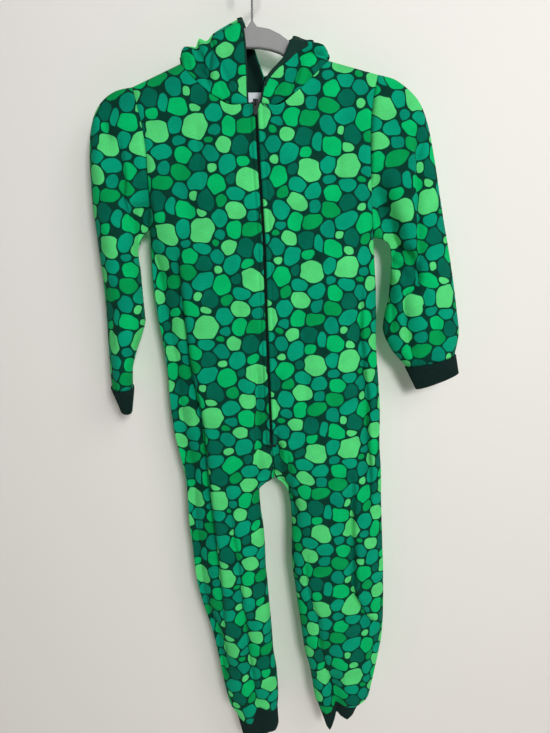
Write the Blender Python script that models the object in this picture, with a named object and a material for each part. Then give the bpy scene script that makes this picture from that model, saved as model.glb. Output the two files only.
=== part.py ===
"""A child's hooded one-piece fleece pajama, hanging on a plastic coat hanger.

Z is up and the front faces -Y. Side +1 is the wearer's left (+X), side -1 the wearer's right. The
origin is the point inside the top of the hanger's hook where a rod bears. Tables are in millimetres.
"""

import math

import bmesh
import bpy
import numpy as np

FLEECE = 1.8  # wall of the printed cloth
LINING = 1.0  # wall of the hood lining
KNIT = 1.8  # wall of the cuffs
SEAM = 0.3  # gap left where two pieces are sewn
ZIP_HALF = 2.2  # from the centre line of the zip to the edge of each front
FRONT_COLUMNS = 14
BACK_COLUMNS = 10
TUBE_POINTS = 16

# Finish of each node, found by the start of its name: base colour (sRGB), roughness, metallic.
FINISHES = (
    ("front_", "printed_fleece", "00A05C", 0.95, 0.0),
    ("back_", "printed_fleece", "00A05C", 0.95, 0.0),
    ("sleeve_", "printed_fleece", "00A05C", 0.95, 0.0),
    ("hood_lining_", "hood_lining", "0D2420", 0.95, 0.0),
    ("hood_", "printed_fleece", "00A05C", 0.95, 0.0),
    ("cuff_", "rib_knit", "0A2622", 0.9, 0.0),
    ("ankle_cuff_", "rib_knit", "0A2622", 0.9, 0.0),
    ("neck_label", "label_tape", "C9D8E4", 0.6, 0.0),
    ("zip_tape", "zip_tape", "0B2A22", 0.8, 0.0),
    ("zip_chain", "zip_coil", "0B2A22", 0.45, 0.0),
    ("zip_", "zip_metal", "3E4A46", 0.4, 1.0),
    ("hanger_body", "hanger_plastic", "8F8F8F", 0.55, 0.0),
    ("hanger_hook", "hook_wire", "A6A6A6", 0.3, 1.0),
)

# ---------------------------------------------------------------------------------- body tables

# Armhole, top to bottom in eight steps of 22.5 degrees: x at each step, then z at top and bottom.
ARMHOLE = {
    -1: ((-169, -166, -160, -153, -149, -149, -150, -152, -154), -147, -342),
    +1: ((176, 173, 168, 165, 166, 170, 173, 175, 177), -131, -353),
}
ARMHOLE_DEPTH = 22
# Neckline at the same nine rows: (x, z) from the shoulder to the top of the centre seam and on down.
FRONT_NECK = {
    -1: ((-100, -117), (-92, -127), (-76, -144), (-53, -163), (-26, -175), (5, -171)),
    +1: ((105, -113), (98, -122), (82, -138), (60, -158), (33, -175), (5, -171)),
}
BACK_NECK = {
    -1: ((-100, -117), (-92, -125), (-74, -135), (-48, -143), (-18, -148), (14, -149)),
    +1: ((105, -113), (98, -120), (82, -130), (62, -139), (38, -146), (14, -149)),
}
CENTRE_ROWS = (-217, -262, -306)  # z of the centre seam at the last three armhole rows
YOKE_DEPTH = (0, 9.5, 15, 20, 23, 24.5, 27, 29, 30)  # half thickness of the body at those rows

# Centre line of the zip and of the seam below it, and of the back seam: z, x.
ZIP_LINE = ((-165, 5), (-237, 8), (-298, 12), (-362, 16), (-441, 18), (-502, 20), (-595, 23.5),
            (-660, 26), (-730, 31))
BACK_LINE = ((-145, 14), (-450, 20), (-730, 31))

# Rows below the armholes. z_in and z_out: height at the inner and at the outer edge. x: edges of the
# body, then of each leg. depth: half thickness. joined: 1 where the halves are one body, 0 in the legs.
BODY = (
    # z_in, z_out, right_out, right_in, left_in, left_out, depth, joined
    (-346, -372, -153, None, None, 179, 31, 1),
    (-384, -404, -153, None, None, 182, 32, 1),
    (-420, -436, -151, None, None, 184.5, 32, 1),
    (-456, -468, -148, None, None, 186, 32, 1),
    (-492, -500, -143, None, None, 187, 32, 1),
    (-528, -532, -139, None, None, 189.5, 32, 1),
    (-564, -564, -136, None, None, 193, 32, 1),
    (-600, -598, -135, None, None, 196.5, 32, 1),
    (-634, -630, -132.5, None, None, 198.5, 32, 1),
    (-664, -660, -129, None, None, 199, 31, 1),
    (-692, -690, -123, None, None, 201, 31, 0.85),
    (-715, -716, -117.5, None, None, 203.5, 30, 0.5),
    (-730, -740, -113.5, 31, 31, 205, 30, 0),
    (-741, -758, -112.5, 17, 43, 205.5, 30, 0),
    (-755, -776, -112, 6, 50, 206.5, 30, 0),
    (-786, -800, -111.5, 8, 53, 208, 30, 0),
    (-820, -828, -110, 12.5, 53.5, 210, 29, 0),
    (-855, -858, -106.5, 15, 53.5, 212, 29, 0),
    (-890, -890, -104.5, 16, 54.5, 214.5, 29, 0),
    (-924, -924, -101, 19, 59, 216, 28, 0),
    (-958, -958, -94, 21.5, 63.5, 217.5, 28, 0),
    (-992, -992, -84.5, 24.5, 69, 218, 28, 0),
    (-1026, -1026, -75.5, 27, 75, 217, 27, 0),
    (-1058, -1058, -69.5, 29, 80, 213, 27, 0),
    (-1090, -1090, -64, 34, 90, 208.5, 26, 0),
    (-1120, -1120, -59, 36.5, 96, 203.5, 26, 0),
    (-1148, -1148, -53, 37.5, 101, 198, 25, 0),
)
# The last row of each leg follows its gathered hem: x, z from the outer edge to the inner one.
HEM = {
    -1: ((-37, -1196), (-28, -1201), (-19, -1205), (-9, -1199), (2, -1187), (14, -1184), (36, -1186)),
    +1: ((181, -1176), (168, -1175), (154, -1173), (144, -1173), (134, -1178), (125, -1186), (115, -1190)),
}
HEM_DEPTH = 21

# Creases. Start and end of the bottom line (x, z), depth, then half width on its -X and +X sides.
FOLD_END = 30  # how far a crease runs out beyond its ends
FRONT_FOLDS = (
    (-109, -395, -104, -472, 6, 34, 18),
    (-104, -472, -91, -581, 7, 34, 18),
    (-91, -581, -74, -736, 7, 30, 18),
    (-80, -770, -63, -925, 7, 26, 18),
    (-63, -925, -55, -1060, 6, 20, 18),
    (2, -560, 3, -722, 5, 20, 14),
    (159, -410, 168, -640, 5, 20, 30),
    (168, -640, 158, -800, 5, 20, 30),
    (158, -800, 160, -925, 6, 20, 26),
    (160, -925, 178, -970, 5, 20, 20),
    (-24, -870, -20, -1000, 4, 18, 18),
    (-20, -1000, -4, -1180, 6, 18, 18),
    (128, -1090, 142, -1172, 7, 18, 18),
    (-118, -190, -92, -330, 3, 18, 18),
    (128, -185, 108, -330, 3, 18, 18),
    (60, -330, 75, -560, 2.5, 20, 20),
    (235, -215, 242, -404, 8, 13, 18),
    (242, -404, 214, -452, 7, 12, 14),
    (-202, -190, -200, -262, 5, 16, 16),
    (-200, -262, -188, -300, 4, 16, 14),
)
BACK_FOLDS = (
    (-62, -290, -78, -520, 5, 20, 16),
    (-78, -520, -66, -730, 6, 20, 16),
    (88, -285, 104, -520, 5, 16, 22),
    (104, -520, 112, -740, 6, 16, 22),
    (20, -330, 24, -560, 3, 20, 20),
    (-60, -770, -48, -960, 6, 16, 20),
    (-48, -960, -18, -1150, 5, 14, 16),
    (124, -780, 130, -950, 6, 18, 16),
    (130, -950, 142, -1160, 5, 14, 14),
    (-205, -200, -198, -400, 5, 14, 14),
    (238, -210, 240, -440, 6, 15, 15),
)

# ------------------------------------------------------------------------------- sleeve tables

# Rings after the armhole: outer edge (x, z), inner edge (x, z), half depth.
SLEEVE = {
    -1: (
        (-189, -151, -159, -345, 23),
        (-210, -163, -165, -352, 26),
        (-226, -186, -170, -361, 29),
        (-234, -220, -173, -373, 31),
        (-236, -258, -173, -388, 33),
        (-236, -300, -172, -406, 34),
        (-233, -342, -171, -427, 35),
        (-230, -382, -170, -451, 36),
        (-227, -424, -169, -475, 37),
        (-226, -466, -175, -499, 37),
        (-226, -506, -184, -524, 37),
        (-226, -546, -191, -553, 36),
        (-225, -581, -192, -580, 34),
    ),
    +1: (
        (196, -136, 181, -357, 23),
        (216, -148, 184, -362, 25),
        (236, -168, 187, -369, 26),
        (250, -200, 191, -379, 27),
        (262, -246, 197, -392, 28),
        (272, -292, 205, -404, 28),
        (281, -332, 208, -421, 28),
        (291, -374, 205, -440, 28),
        (300, -416, 202, -462, 28),
        (308, -458, 201, -486, 28),
        (315, -496, 210, -517, 27),
        (314, -524, 235, -549, 24),
    ),
}
# Cuffs: the last ring is the free edge.
CUFF_END = {
    -1: (-214, -617, -197, -619, 31),
    +1: (320, -561, 257, -587, 21),
}
ANKLE_END = {
    -1: ((-24, -1236), (-8, -1240), (8, -1236), (22, -1228), (39, -1219)),
    +1: ((176, -1188), (168, -1200), (158, -1203), (148, -1198), (142, -1192), (136, -1216),
         (131, -1227), (124, -1218), (118, -1204)),
}

# --------------------------------------------------------------------------------- hood tables

# Columns from the shoulder to the front edge. seam: x on the neckline. top_x, top_z: upper outline.
# bulge: how far the front stands out. bottom: lowest point of the pouch at the back.
HOOD_FRONT = {
    -1: (
        # seam, low_x, top_x, top_z, bulge, bottom
        (-92, -95, -98, -104, 8, -134),
        (-86, -89, -92, -97, 12, -160),
        (-79, -81, -84, -97, 14, -186),
        (-72, -75, -78, -98, 11, -204),
        (-64, -69, -72, -87, 13, -220),
        (-56, -61, -63, -90, 15, -233),
        (-45, -50, -53, -81, 17, -243),
        (-31, -36, -38, -72.5, 18, -251),
        (-16, -22, -24, -66, 19, -256),
        (-2.5, -8.5, -12.5, -61.5, 19, -259),
    ),
    +1: (
        (98, 101, 106, -107, 8, -134),
        (92, 98, 103, -97, 12, -160),
        (84, 92, 96, -91, 14, -186),
        (74, 84, 88, -88, 15, -204),
        (63, 74, 78, -86, 16, -222),
        (48, 63, 68, -83, 16, -236),
        (30, 51, 58, -80, 17, -246),
        (12, 36, 50, -79.5, 17, -252),
    ),
}
# Columns behind the neck, from the hanger to the centre back seam: x, z of the free edge, its y.
HOOD_BACK = {
    -1: ((-7, -72, 13, -259), (2, -92, 15, -260), (9, -110, 17, -260), (16, -128, 19, -260)),
    +1: ((48.5, -86, 13, -253), (44, -104, 15, -255), (36, -116, 17, -258), (28, -123, 18, -260),
         (16, -128, 19, -260)),
}
# Heights of the front rows between seam and top, and shape of the rows over and behind the hanger.
HOOD_RISE = (0.0, 0.34, 0.68, 0.90)
# share of the way from the top to the bottom of the pouch, y
POUCH = ((0.05, 14), (0.2, 32), (0.45, 40), (0.72, 46), (0.93, 45), (1.0, 39), (0.9, 33), (0.55, 31))

# ------------------------------------------------------------------------------- hanger tables

HANGER_HALF = 4.5  # half thickness
HANGER_TOP = (
    (-212, -182), (-205, -172), (-190, -162.5), (-169, -154), (-135, -139.5), (-101, -125),
    (-75, -109), (-51, -92.5), (-38, -83.5), (-25, -77), (-15, -73.5), (-7, -72), (-3, -66), (0, -62),
    (3, -66), (7, -71), (15, -72), (25, -74), (38, -80), (50, -88), (75, -105), (105, -120.5),
    (140, -129.5), (176, -138), (200, -146), (218, -156), (229, -170),
)
HANGER_LOW = (
    (223, -182), (205, -170), (176, -161), (140, -151), (105, -143), (75, -130), (51, -112),
    (38, -104.5), (25, -100.5), (10, -98), (-8, -98), (-25, -101.5), (-38, -107), (-51, -115),
    (-75, -131), (-101, -147), (-135, -162), (-169, -176), (-190, -185), (-203, -193),
)
WIRE = 1.5
# Hook, as points of its centre line: x, z.
HOOK = (
    (0, -68.7), (0, -38), (3.5, -34.2), (9.5, -31.8), (15, -28), (18.2, -23), (19, -17.5), (18.1, -11.6),
    (15.4, -6.3), (11.2, -2.1), (5.9, 0.6), (0, 1.5), (-5.9, 0.6), (-11.2, -2.1), (-15.4, -6.3),
    (-18.1, -11.6), (-19, -17.5), (-18.1, -23.4),
)

# -------------------------------------------------------------------------------------- helpers


def at(table, where):
    """Height z or x read from a table of (key, value) pairs in falling or rising order."""
    keys = np.array([row[0] for row in table], float)
    values = np.array([row[1] for row in table], float)
    order = np.argsort(keys)
    return np.interp(where, keys[order], values[order])


def creased(x, z, folds):
    """Depth of the deepest crease at a point seen from the front."""
    deepest = 0.0
    for x0, z0, x1, z1, depth, minus, plus in folds:
        length = math.hypot(x1 - x0, z1 - z0)
        ux, uz = (x1 - x0) / length, (z1 - z0) / length
        along = (x - x0) * ux + (z - z0) * uz
        # Positive on the +X side of a line that runs down.
        side = (x - x0) * -uz + (z - z0) * ux
        beyond = max(0.0, -along, along - length)
        width = plus if side > 0 else minus
        here = depth * math.exp(-((side / width) ** 2) - (beyond / FOLD_END) ** 2)
        deepest = max(deepest, here)
    return deepest


def thicken(name, points, faces, wall, planes=None):
    """Closed wall behind an open surface of faces. planes: vertex -> axes its wall may not move in."""
    points = np.array(points, float)
    normals = np.zeros_like(points)
    edges = {}
    for face in faces:
        corner = points[list(face)]
        normal = sum(np.cross(corner[i] - corner[0], corner[i + 1] - corner[0])
                     for i in range(1, len(face) - 1))
        for i, a in enumerate(face):
            normals[a] += normal
            b = face[(i + 1) % len(face)]
            edges[(a, b)] = edges.get((a, b), 0) + 1
    for vertex, axes in (planes or {}).items():
        for axis in axes:
            normals[vertex] -= np.dot(normals[vertex], axis) * np.array(axis)
    normals /= np.maximum(np.linalg.norm(normals, axis=1), 1e-9)[:, None]
    count = len(points)
    shape = np.vstack([points, points - normals * wall]) * 0.001
    closed = [tuple(face) for face in faces]
    closed += [tuple(count + v for v in reversed(face)) for face in faces]
    closed += [(b, a, count + a, count + b) for a, b in edges if (b, a) not in edges]
    used = sorted({v for face in closed for v in face})
    renumber = {v: i for i, v in enumerate(used)}
    return solid(name, shape[used], [tuple(renumber[v] for v in face) for face in closed])


def solid(name, points, faces):
    mesh = bpy.data.meshes.new(name)
    mesh.from_pydata([tuple(p) for p in points], [], faces)
    work = bmesh.new()
    work.from_mesh(mesh)
    bmesh.ops.recalc_face_normals(work, faces=work.faces)
    if work.calc_volume(signed=True) < 0:
        bmesh.ops.reverse_faces(work, faces=work.faces)
    work.to_mesh(mesh)
    work.free()
    return placed(name, mesh)


def placed(name, mesh):
    """Object of the mesh, smooth-shaded but for sharp edges, with the finish that its name gives."""
    mesh.shade_smooth()
    mesh.set_sharp_from_angle(angle=math.radians(40))
    item = bpy.data.objects.new(name, mesh)
    bpy.context.scene.collection.objects.link(item)
    for start, finish, colour, roughness, metallic in FINISHES:
        if name.startswith(start):
            mesh.materials.append(material(finish, colour, roughness, metallic))
            break
    return item


def material(name, colour, roughness, metallic):
    made = bpy.data.materials.get(name)
    if made is None:
        made = bpy.data.materials.new(name)
        made.use_nodes = True
        shader = made.node_tree.nodes["Principled BSDF"]
        linear = [linear_from_srgb(int(colour[i:i + 2], 16) / 255) for i in (0, 2, 4)]
        shader.inputs["Base Color"].default_value = (*linear, 1)
        shader.inputs["Roughness"].default_value = roughness
        shader.inputs["Metallic"].default_value = metallic
    return made


def linear_from_srgb(value):
    return value / 12.92 if value <= 0.04045 else ((value + 0.055) / 1.055) ** 2.4


def grid_faces(rows, columns, keep=lambda r, c: True, wrap=False):
    """Quads between the points of a grid, numbered row by row."""
    last = columns if wrap else columns - 1
    return [
        (r * columns + c, r * columns + (c + 1) % columns,
         (r + 1) * columns + (c + 1) % columns, (r + 1) * columns + c)
        for r in range(rows - 1) for c in range(last) if keep(r, c)
    ]


# --------------------------------------------------------------------------------------- panels


def body_rows(side, front):
    """Edge points and section of every row of one panel: inner, outer, depth, edge depth, joined."""
    xs, top, bottom = ARMHOLE[side]
    neck = (FRONT_NECK if front else BACK_NECK)[side]
    line = ZIP_LINE if front else BACK_LINE
    rows = []
    for k in range(9):
        angle = math.pi * k / 8
        z = top + (bottom - top) * (1 - math.cos(angle)) / 2
        if k < len(neck):
            inner = neck[k]
        else:
            height = CENTRE_ROWS[k - len(neck)]
            inner = (at(line, height), height)
        edge = ARMHOLE_DEPTH * math.sin(angle)
        rows.append((inner, (xs[k], z), YOKE_DEPTH[k] * (1 if front else 0.93), edge, 1.0))
    for z_in, z_out, right_out, right_in, left_in, left_out, depth, joined in BODY:
        x_in = (right_in if side < 0 else left_in) if joined == 0 else at(line, z_in)
        x_out = right_out if side < 0 else left_out
        rows.append(((x_in, z_in), (x_out, z_out), depth * (1 if front else 0.95), 0.0, joined))
    hem = HEM[side]
    rows.append((hem[-1], hem[0], HEM_DEPTH, 0.0, 0.0))
    return rows


def panel_point(side, front, row, index, last, share):
    """One point of a panel; share runs from 0 at its inner edge to 1 at its outer edge."""
    (x_in, z_in), (x_out, z_out), depth, edge, joined = row
    centre = index >= 5 and joined > 0
    if centre:
        gap = ZIP_HALF if front and z_in > -668 else SEAM / 2
        x_in += side * gap
    elif joined == 0 and index > 0 and z_in > -735:
        x_in += side * SEAM / 2
    x = x_in + (x_out - x_in) * share
    z = z_in + (z_out - z_in) * share
    body = edge + (depth - edge) * (1 - share**2.6) ** (1 / 2.6)
    leg = depth * (1 - abs(2 * share - 1) ** 2.3) ** (1 / 2.3)
    y = joined * body + (1 - joined) * leg
    if index == last:
        z = at(HEM[side], x)
    fold = creased(x, z, FRONT_FOLDS if front else BACK_FOLDS)
    y -= fold * min(1.0, max(0.0, (y - edge) / 12) + (0.5 if edge else 0)) * min(1.0, y / 14)
    y = max(y, SEAM / 2)
    return (x, -y if front else y, z)


def panel(side, front):
    columns = (FRONT_COLUMNS if front else BACK_COLUMNS) + 1
    rows = body_rows(side, front)
    last = len(rows) - 1
    points, planes = [], {}
    for r, row in enumerate(rows):
        for c in range(columns):
            share = (1 - math.cos(math.pi * c / (columns - 1))) / 2
            points.append(panel_point(side, front, row, r, last, share))
            axes = []
            here = len(points) - 1
            inner, outer = c == 0, c == columns - 1
            if r == 0 or (outer and (r == 8 or row[3] == 0)) or (inner and row[4] == 0):
                axes.append((0, 1, 0))
            crotch = inner and row[4] == 0 and rows[r - 1][4] > 0
            if (outer and r <= 7) or (inner and r >= 5 and row[4] > 0) or crotch:
                axes.append((1, 0, 0))
            if r == last or (inner and 0 < r < 5):
                axes.append((0, 0, 1))
            if axes:
                planes[here] = axes[:2]
    faces = grid_faces(len(rows), columns)
    # The -X front and the +X back run the other way round.
    if (side > 0) == front:
        faces = [tuple(reversed(face)) for face in faces]
    name = ("front_" if front else "back_") + ("left" if side > 0 else "right")
    thicken(name, points, faces, FLEECE, planes)
    return np.array(points).reshape(len(rows), columns, 3)


# --------------------------------------------------------------------------------------- sleeves


def ring(outer_x, outer_z, inner_x, inner_z, depth, count=TUBE_POINTS):
    """Points round a flattened section, from the outer edge over the front to the inner edge."""
    points = []
    for k in range(count):
        angle = 2 * math.pi * k / count
        share = (1 - math.copysign(abs(math.cos(angle)) ** 0.9, math.cos(angle))) / 2
        x = outer_x + (inner_x - outer_x) * share
        z = outer_z + (inner_z - outer_z) * share
        points.append((x, -depth * math.copysign(abs(math.sin(angle)) ** 0.9, math.sin(angle)), z))
    return points


def armhole_ring(side):
    xs, top, bottom = ARMHOLE[side]
    points = []
    for k in range(TUBE_POINTS):
        angle = 2 * math.pi * k / TUBE_POINTS
        step = k if k <= 8 else 16 - k
        z = top + (bottom - top) * (1 - math.cos(angle)) / 2
        points.append((xs[step] + side * SEAM, -ARMHOLE_DEPTH * math.sin(angle), z))
    return points


def folded(points):
    """Presses the creases into the front and back of a ring."""
    result = []
    for x, y, z in points:
        depth = creased(x, z, FRONT_FOLDS if y < 0 else BACK_FOLDS)
        depth *= min(1.0, abs(y) / 14)
        result.append((x, y + depth if y < 0 else y - depth, z))
    return result


def tube(name, rings, wall, side, end_axes):
    count = len(rings[0])
    points = [point for row in rings for point in row]
    planes = {}
    for r, axis in ((0, end_axes[0]), (len(rings) - 1, end_axes[1])):
        for k in range(count):
            planes[r * count + k] = [axis]
    faces = grid_faces(len(rings), count, wrap=True)
    if side < 0:
        faces = [tuple(reversed(face)) for face in faces]
    return thicken(name, points, faces, wall, planes)


def unit(dx, dz):
    length = math.hypot(dx, dz)
    return (dx / length, 0, dz / length)


def moved(points, axis, distance):
    return [tuple(p[i] + axis[i] * distance for i in range(3)) for p in points]


def sleeve_and_cuff(side):
    rings = [armhole_ring(side)]
    rings += [folded(ring(*row)) for row in SLEEVE[side]]
    outer_x, outer_z, inner_x, inner_z, _ = SLEEVE[side][-1]
    # Across the end ring, pointing down the sleeve.
    axis = unit(outer_z - inner_z, inner_x - outer_x)
    if axis[2] > 0:
        axis = tuple(-a for a in axis)
    which = "left" if side > 0 else "right"
    tube("sleeve_" + which, rings, FLEECE, side, ((1, 0, 0), axis))
    start = moved(rings[-1], axis, SEAM)
    end = ring(*CUFF_END[side])
    steps = (0.0, 0.12, 0.55, 1.0)
    cuff = []
    for t in steps:
        snug = 1 - 0.05 * math.sin(math.pi * t)
        row = []
        for a, b in zip(start, end):
            p = [a[i] + (b[i] - a[i]) * t for i in range(3)]
            row.append((p[0], p[1] * snug, p[2]))
        cuff.append(row)
    tube("cuff_" + which, cuff, KNIT, side, (axis, axis))


def ankle_cuff(side, front, back):
    """Goes on from the hem of one leg: front row outward, then the back row inward."""
    top = [tuple(p) for p in front[-1]] + [tuple(p) for p in back[-1][::-1][1:-1]]
    top = [(x, 0.0 if abs(y) < 0.2 else y, z - 1.8 * SEAM) for x, y, z in top]
    end_table = ANKLE_END[side]
    x_first, x_last = end_table[0][0], end_table[-1][0]
    hem_first, hem_last = HEM[side][0][0], HEM[side][-1][0]
    rings = [top]
    for t in (0.15, 0.5, 1.0):
        row = []
        for x, y, z in top:
            share = (x - hem_first) / (hem_last - hem_first)
            end_x = x_first + (x_last - x_first) * share
            end_z = at(end_table, end_x)
            row.append((x + (end_x - x) * t, y * (1 - 0.12 * t), z + (end_z - z) * t))
        rings.append(row)
    down = (0, 0, 1)
    tube("ankle_cuff_" + ("left" if side > 0 else "right"), rings, KNIT, -side, (down, down))


# ------------------------------------------------------------------------------------------ hood


def neck_at(table, x):
    """z on a neckline at x, on the straight line between its points."""
    return at([(p[0], p[1]) for p in table], x)


def neck_depth(table, x, scale):
    return at([(table[k][0], YOKE_DEPTH[k] * scale) for k in range(6)], x)


def hood_points(side):
    """Columns of the hood's outside, each from the front seam over the hanger to the back seam."""
    front, behind = HOOD_FRONT[side], HOOD_BACK[side]
    columns = []
    for seam, low_x, top_x, top_z, bulge, bottom in front:
        z0 = neck_at(FRONT_NECK[side], seam) + SEAM * 1.2
        y0 = -neck_depth(FRONT_NECK[side], seam, 1)
        column = [(seam, y0, z0)]
        for i, rise in enumerate(HOOD_RISE[1:]):
            x = seam + (low_x - seam) * rise if i < 2 else low_x + (top_x - low_x) * 0.5
            y = y0 + (-bulge - y0) * rise
            column.append((x, y, z0 + (top_z - z0) * rise))
        valley = -max(7.5, bulge * 0.62)
        column.append((low_x + (top_x - low_x) * 0.8, valley, z0 + (top_z - z0) * 0.955))
        column.append((top_x, -1.5, top_z))
        columns.append(column + pouch(side, top_x, top_z, bottom))
    for x, z, y, bottom in behind:
        column = [None] * 5 + [(x, y, z)]
        columns.append(column + pouch(side, x, z, bottom, y + 4))
    return columns


def pouch(side, x, z, bottom, least=0.0):
    """Rows of one column behind the hanger: down the outside, round the bottom and up to the neckline."""
    rows = []
    span = z - bottom
    small = min(1.0, span / 120)
    for share, y in POUCH:
        height = z - span * share
        depth = 9.5 + (y - 9.5) * small if y > 14 else 10 + (y - 10) * small
        rows.append([x, max(depth, least), height])
    # The inner layer ends on the back neckline.
    seam_x = np.clip(x, BACK_NECK[-1][1][0], BACK_NECK[1][1][0])
    table = BACK_NECK[side]
    seam_z = neck_at(table, seam_x) + SEAM * 1.2
    seam_y = neck_depth(table, seam_x, 0.93)
    if span < 60:
        # At the shoulder the cloth goes straight down to the seam.
        for i, row in enumerate(rows):
            t = (i + 1) / (len(rows) + 1)
            row[0] = x + (seam_x - x) * t
            row[1] = 9.0 + (seam_y - 9.0) * t + 3 * math.sin(math.pi * t)
            row[2] = z + (seam_z - z) * t
    rows.append([seam_x, seam_y, seam_z])
    if abs(x - 16) < 0.1:
        for row in rows:
            row[0] = x
    return [tuple(row) for row in rows]


def hood(side):
    columns = hood_points(side)
    rows, count = len(columns[0]), len(columns)
    edge = len(HOOD_FRONT[side])
    gap = -side * SEAM / 2
    points, index = [], {}
    for c, column in enumerate(columns):
        for r, point in enumerate(column):
            if point is None:
                continue
            x, y, z = point
            index[(r, c)] = len(points)
            points.append((x - gap if c == count - 1 else x, y, z))
    faces = []
    for r in range(rows - 1):
        for c in range(count - 1):
            corners = [(r, c), (r, c + 1), (r + 1, c + 1), (r + 1, c)]
            if all(corner in index for corner in corners) and (r >= 5 or c + 1 < edge):
                faces.append(tuple(index[corner] for corner in corners))
    # The shoulder end is closed by a fan over the shoulder point of the neckline.
    shoulder_x, shoulder_z = FRONT_NECK[side][0]
    shoulder, middle = len(points), len(points) + 1
    points.append((shoulder_x + side * 0.3, 0, shoulder_z + SEAM * 1.5))
    points.append((shoulder_x + side * 0.5, 0, shoulder_z + 6))
    loop = [shoulder] + [index[(r, 0)] for r in range(rows)]
    faces += [(a, b, middle) for a, b in zip(loop, loop[1:] + loop[:1])]
    planes = {shoulder: [(0, 0, 1)]}
    for c in range(count):
        if (0, c) in index:
            planes[index[(0, c)]] = [(0, 0, 1)]
        planes[index[(rows - 1, c)]] = [(0, 0, 1)]
    for r in range(rows):
        if (r, count - 1) in index:
            planes.setdefault(index[(r, count - 1)], []).append((1, 0, 0))
    if side > 0:
        faces = [tuple(reversed(face)) for face in faces]
    which = "left" if side > 0 else "right"
    thicken("hood_" + which, points, faces, FLEECE - 0.3, planes)
    hood_lining(side, which, points, index, edge, (rows, count))


def hood_lining(side, which, points, index, edge, size):
    """Follows the inside of the hood, from above the front seam to the bottom of the pouch."""
    rows, count = size
    spots = np.array(points, float)
    whole = [(r, c) for r in range(rows - 1) for c in range(count - 1)
             if all(k in index for k in ((r, c), (r, c + 1), (r + 1, c + 1), (r + 1, c)))
             and (r >= 5 or c + 1 < edge)]
    normals = np.zeros_like(spots)
    for r, c in whole:
        loop = [index[k] for k in ((r, c), (r, c + 1), (r + 1, c + 1), (r + 1, c))]
        if side > 0:
            loop.reverse()
        a, b, d = spots[loop[0]], spots[loop[1]], spots[loop[3]]
        normal = np.cross(b - a, d - a) + np.cross(spots[loop[2]] - b, spots[loop[3]] - b)
        for v in loop:
            normals[v] += normal
    normals /= np.maximum(np.linalg.norm(normals, axis=1), 1e-9)[:, None]
    moved_in = spots - normals * (FLEECE - 0.3 + 2.5 * SEAM)
    faces = []
    for r, c in whole:
        if 1 <= r <= 9 and c >= 1:
            loop = [index[k] for k in ((r, c), (r, c + 1), (r + 1, c + 1), (r + 1, c))]
            faces.append(tuple(reversed(loop)) if side > 0 else tuple(loop))
    planes = {index[(r, count - 1)]: [(1, 0, 0)] for r in range(5, 11)}
    thicken("hood_lining_" + which, moved_in, faces, LINING, planes)


# ------------------------------------------------------------------------------- zip and label


def front_y(x, z):
    """Outside of the fronts close to the zip."""
    rows = body_rows(1, True)[5:21]
    depth = np.interp(-z, [-row[0][1] for row in rows], [row[2] * row[4] for row in rows])
    return -(depth - creased(x, z, FRONT_FOLDS))


def strip(name, tops, offsets, front, back):
    """Bar along the zip line: x offsets, and y of its two faces from the outside of the fronts."""
    points, faces = [], []
    for z in tops:
        centre = at(ZIP_LINE, z)
        for dx in offsets:
            points.append((centre + dx, front_y(centre + dx, z) + front, z))
        for dx in reversed(offsets):
            points.append((centre + dx, front_y(centre + dx, z) + back, z))
    ring_size = 2 * len(offsets)
    faces = grid_faces(len(tops), ring_size, wrap=True)
    faces.append(tuple(reversed(range(ring_size))))
    faces.append(tuple((len(tops) - 1) * ring_size + k for k in range(ring_size)))
    solid(name, np.array(points) * 0.001, faces)


def rib(name, outline, half, centre_x):
    """Outline in y, z pushed out to both sides of centre_x."""
    count = len(outline)
    points = [(centre_x - half, y, z) for y, z in outline] + [(centre_x + half, y, z) for y, z in outline]
    faces = [tuple(range(count)), tuple(reversed(range(count, 2 * count)))]
    faces += [(k, k + count, (k + 1) % count + count, (k + 1) % count) for k in range(count)]
    return solid(name, np.array(points) * 0.001, faces)


PULL_AXIS = (5.0, -29.6, -173.0)  # centre of the bar that the pull tab turns on


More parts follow.
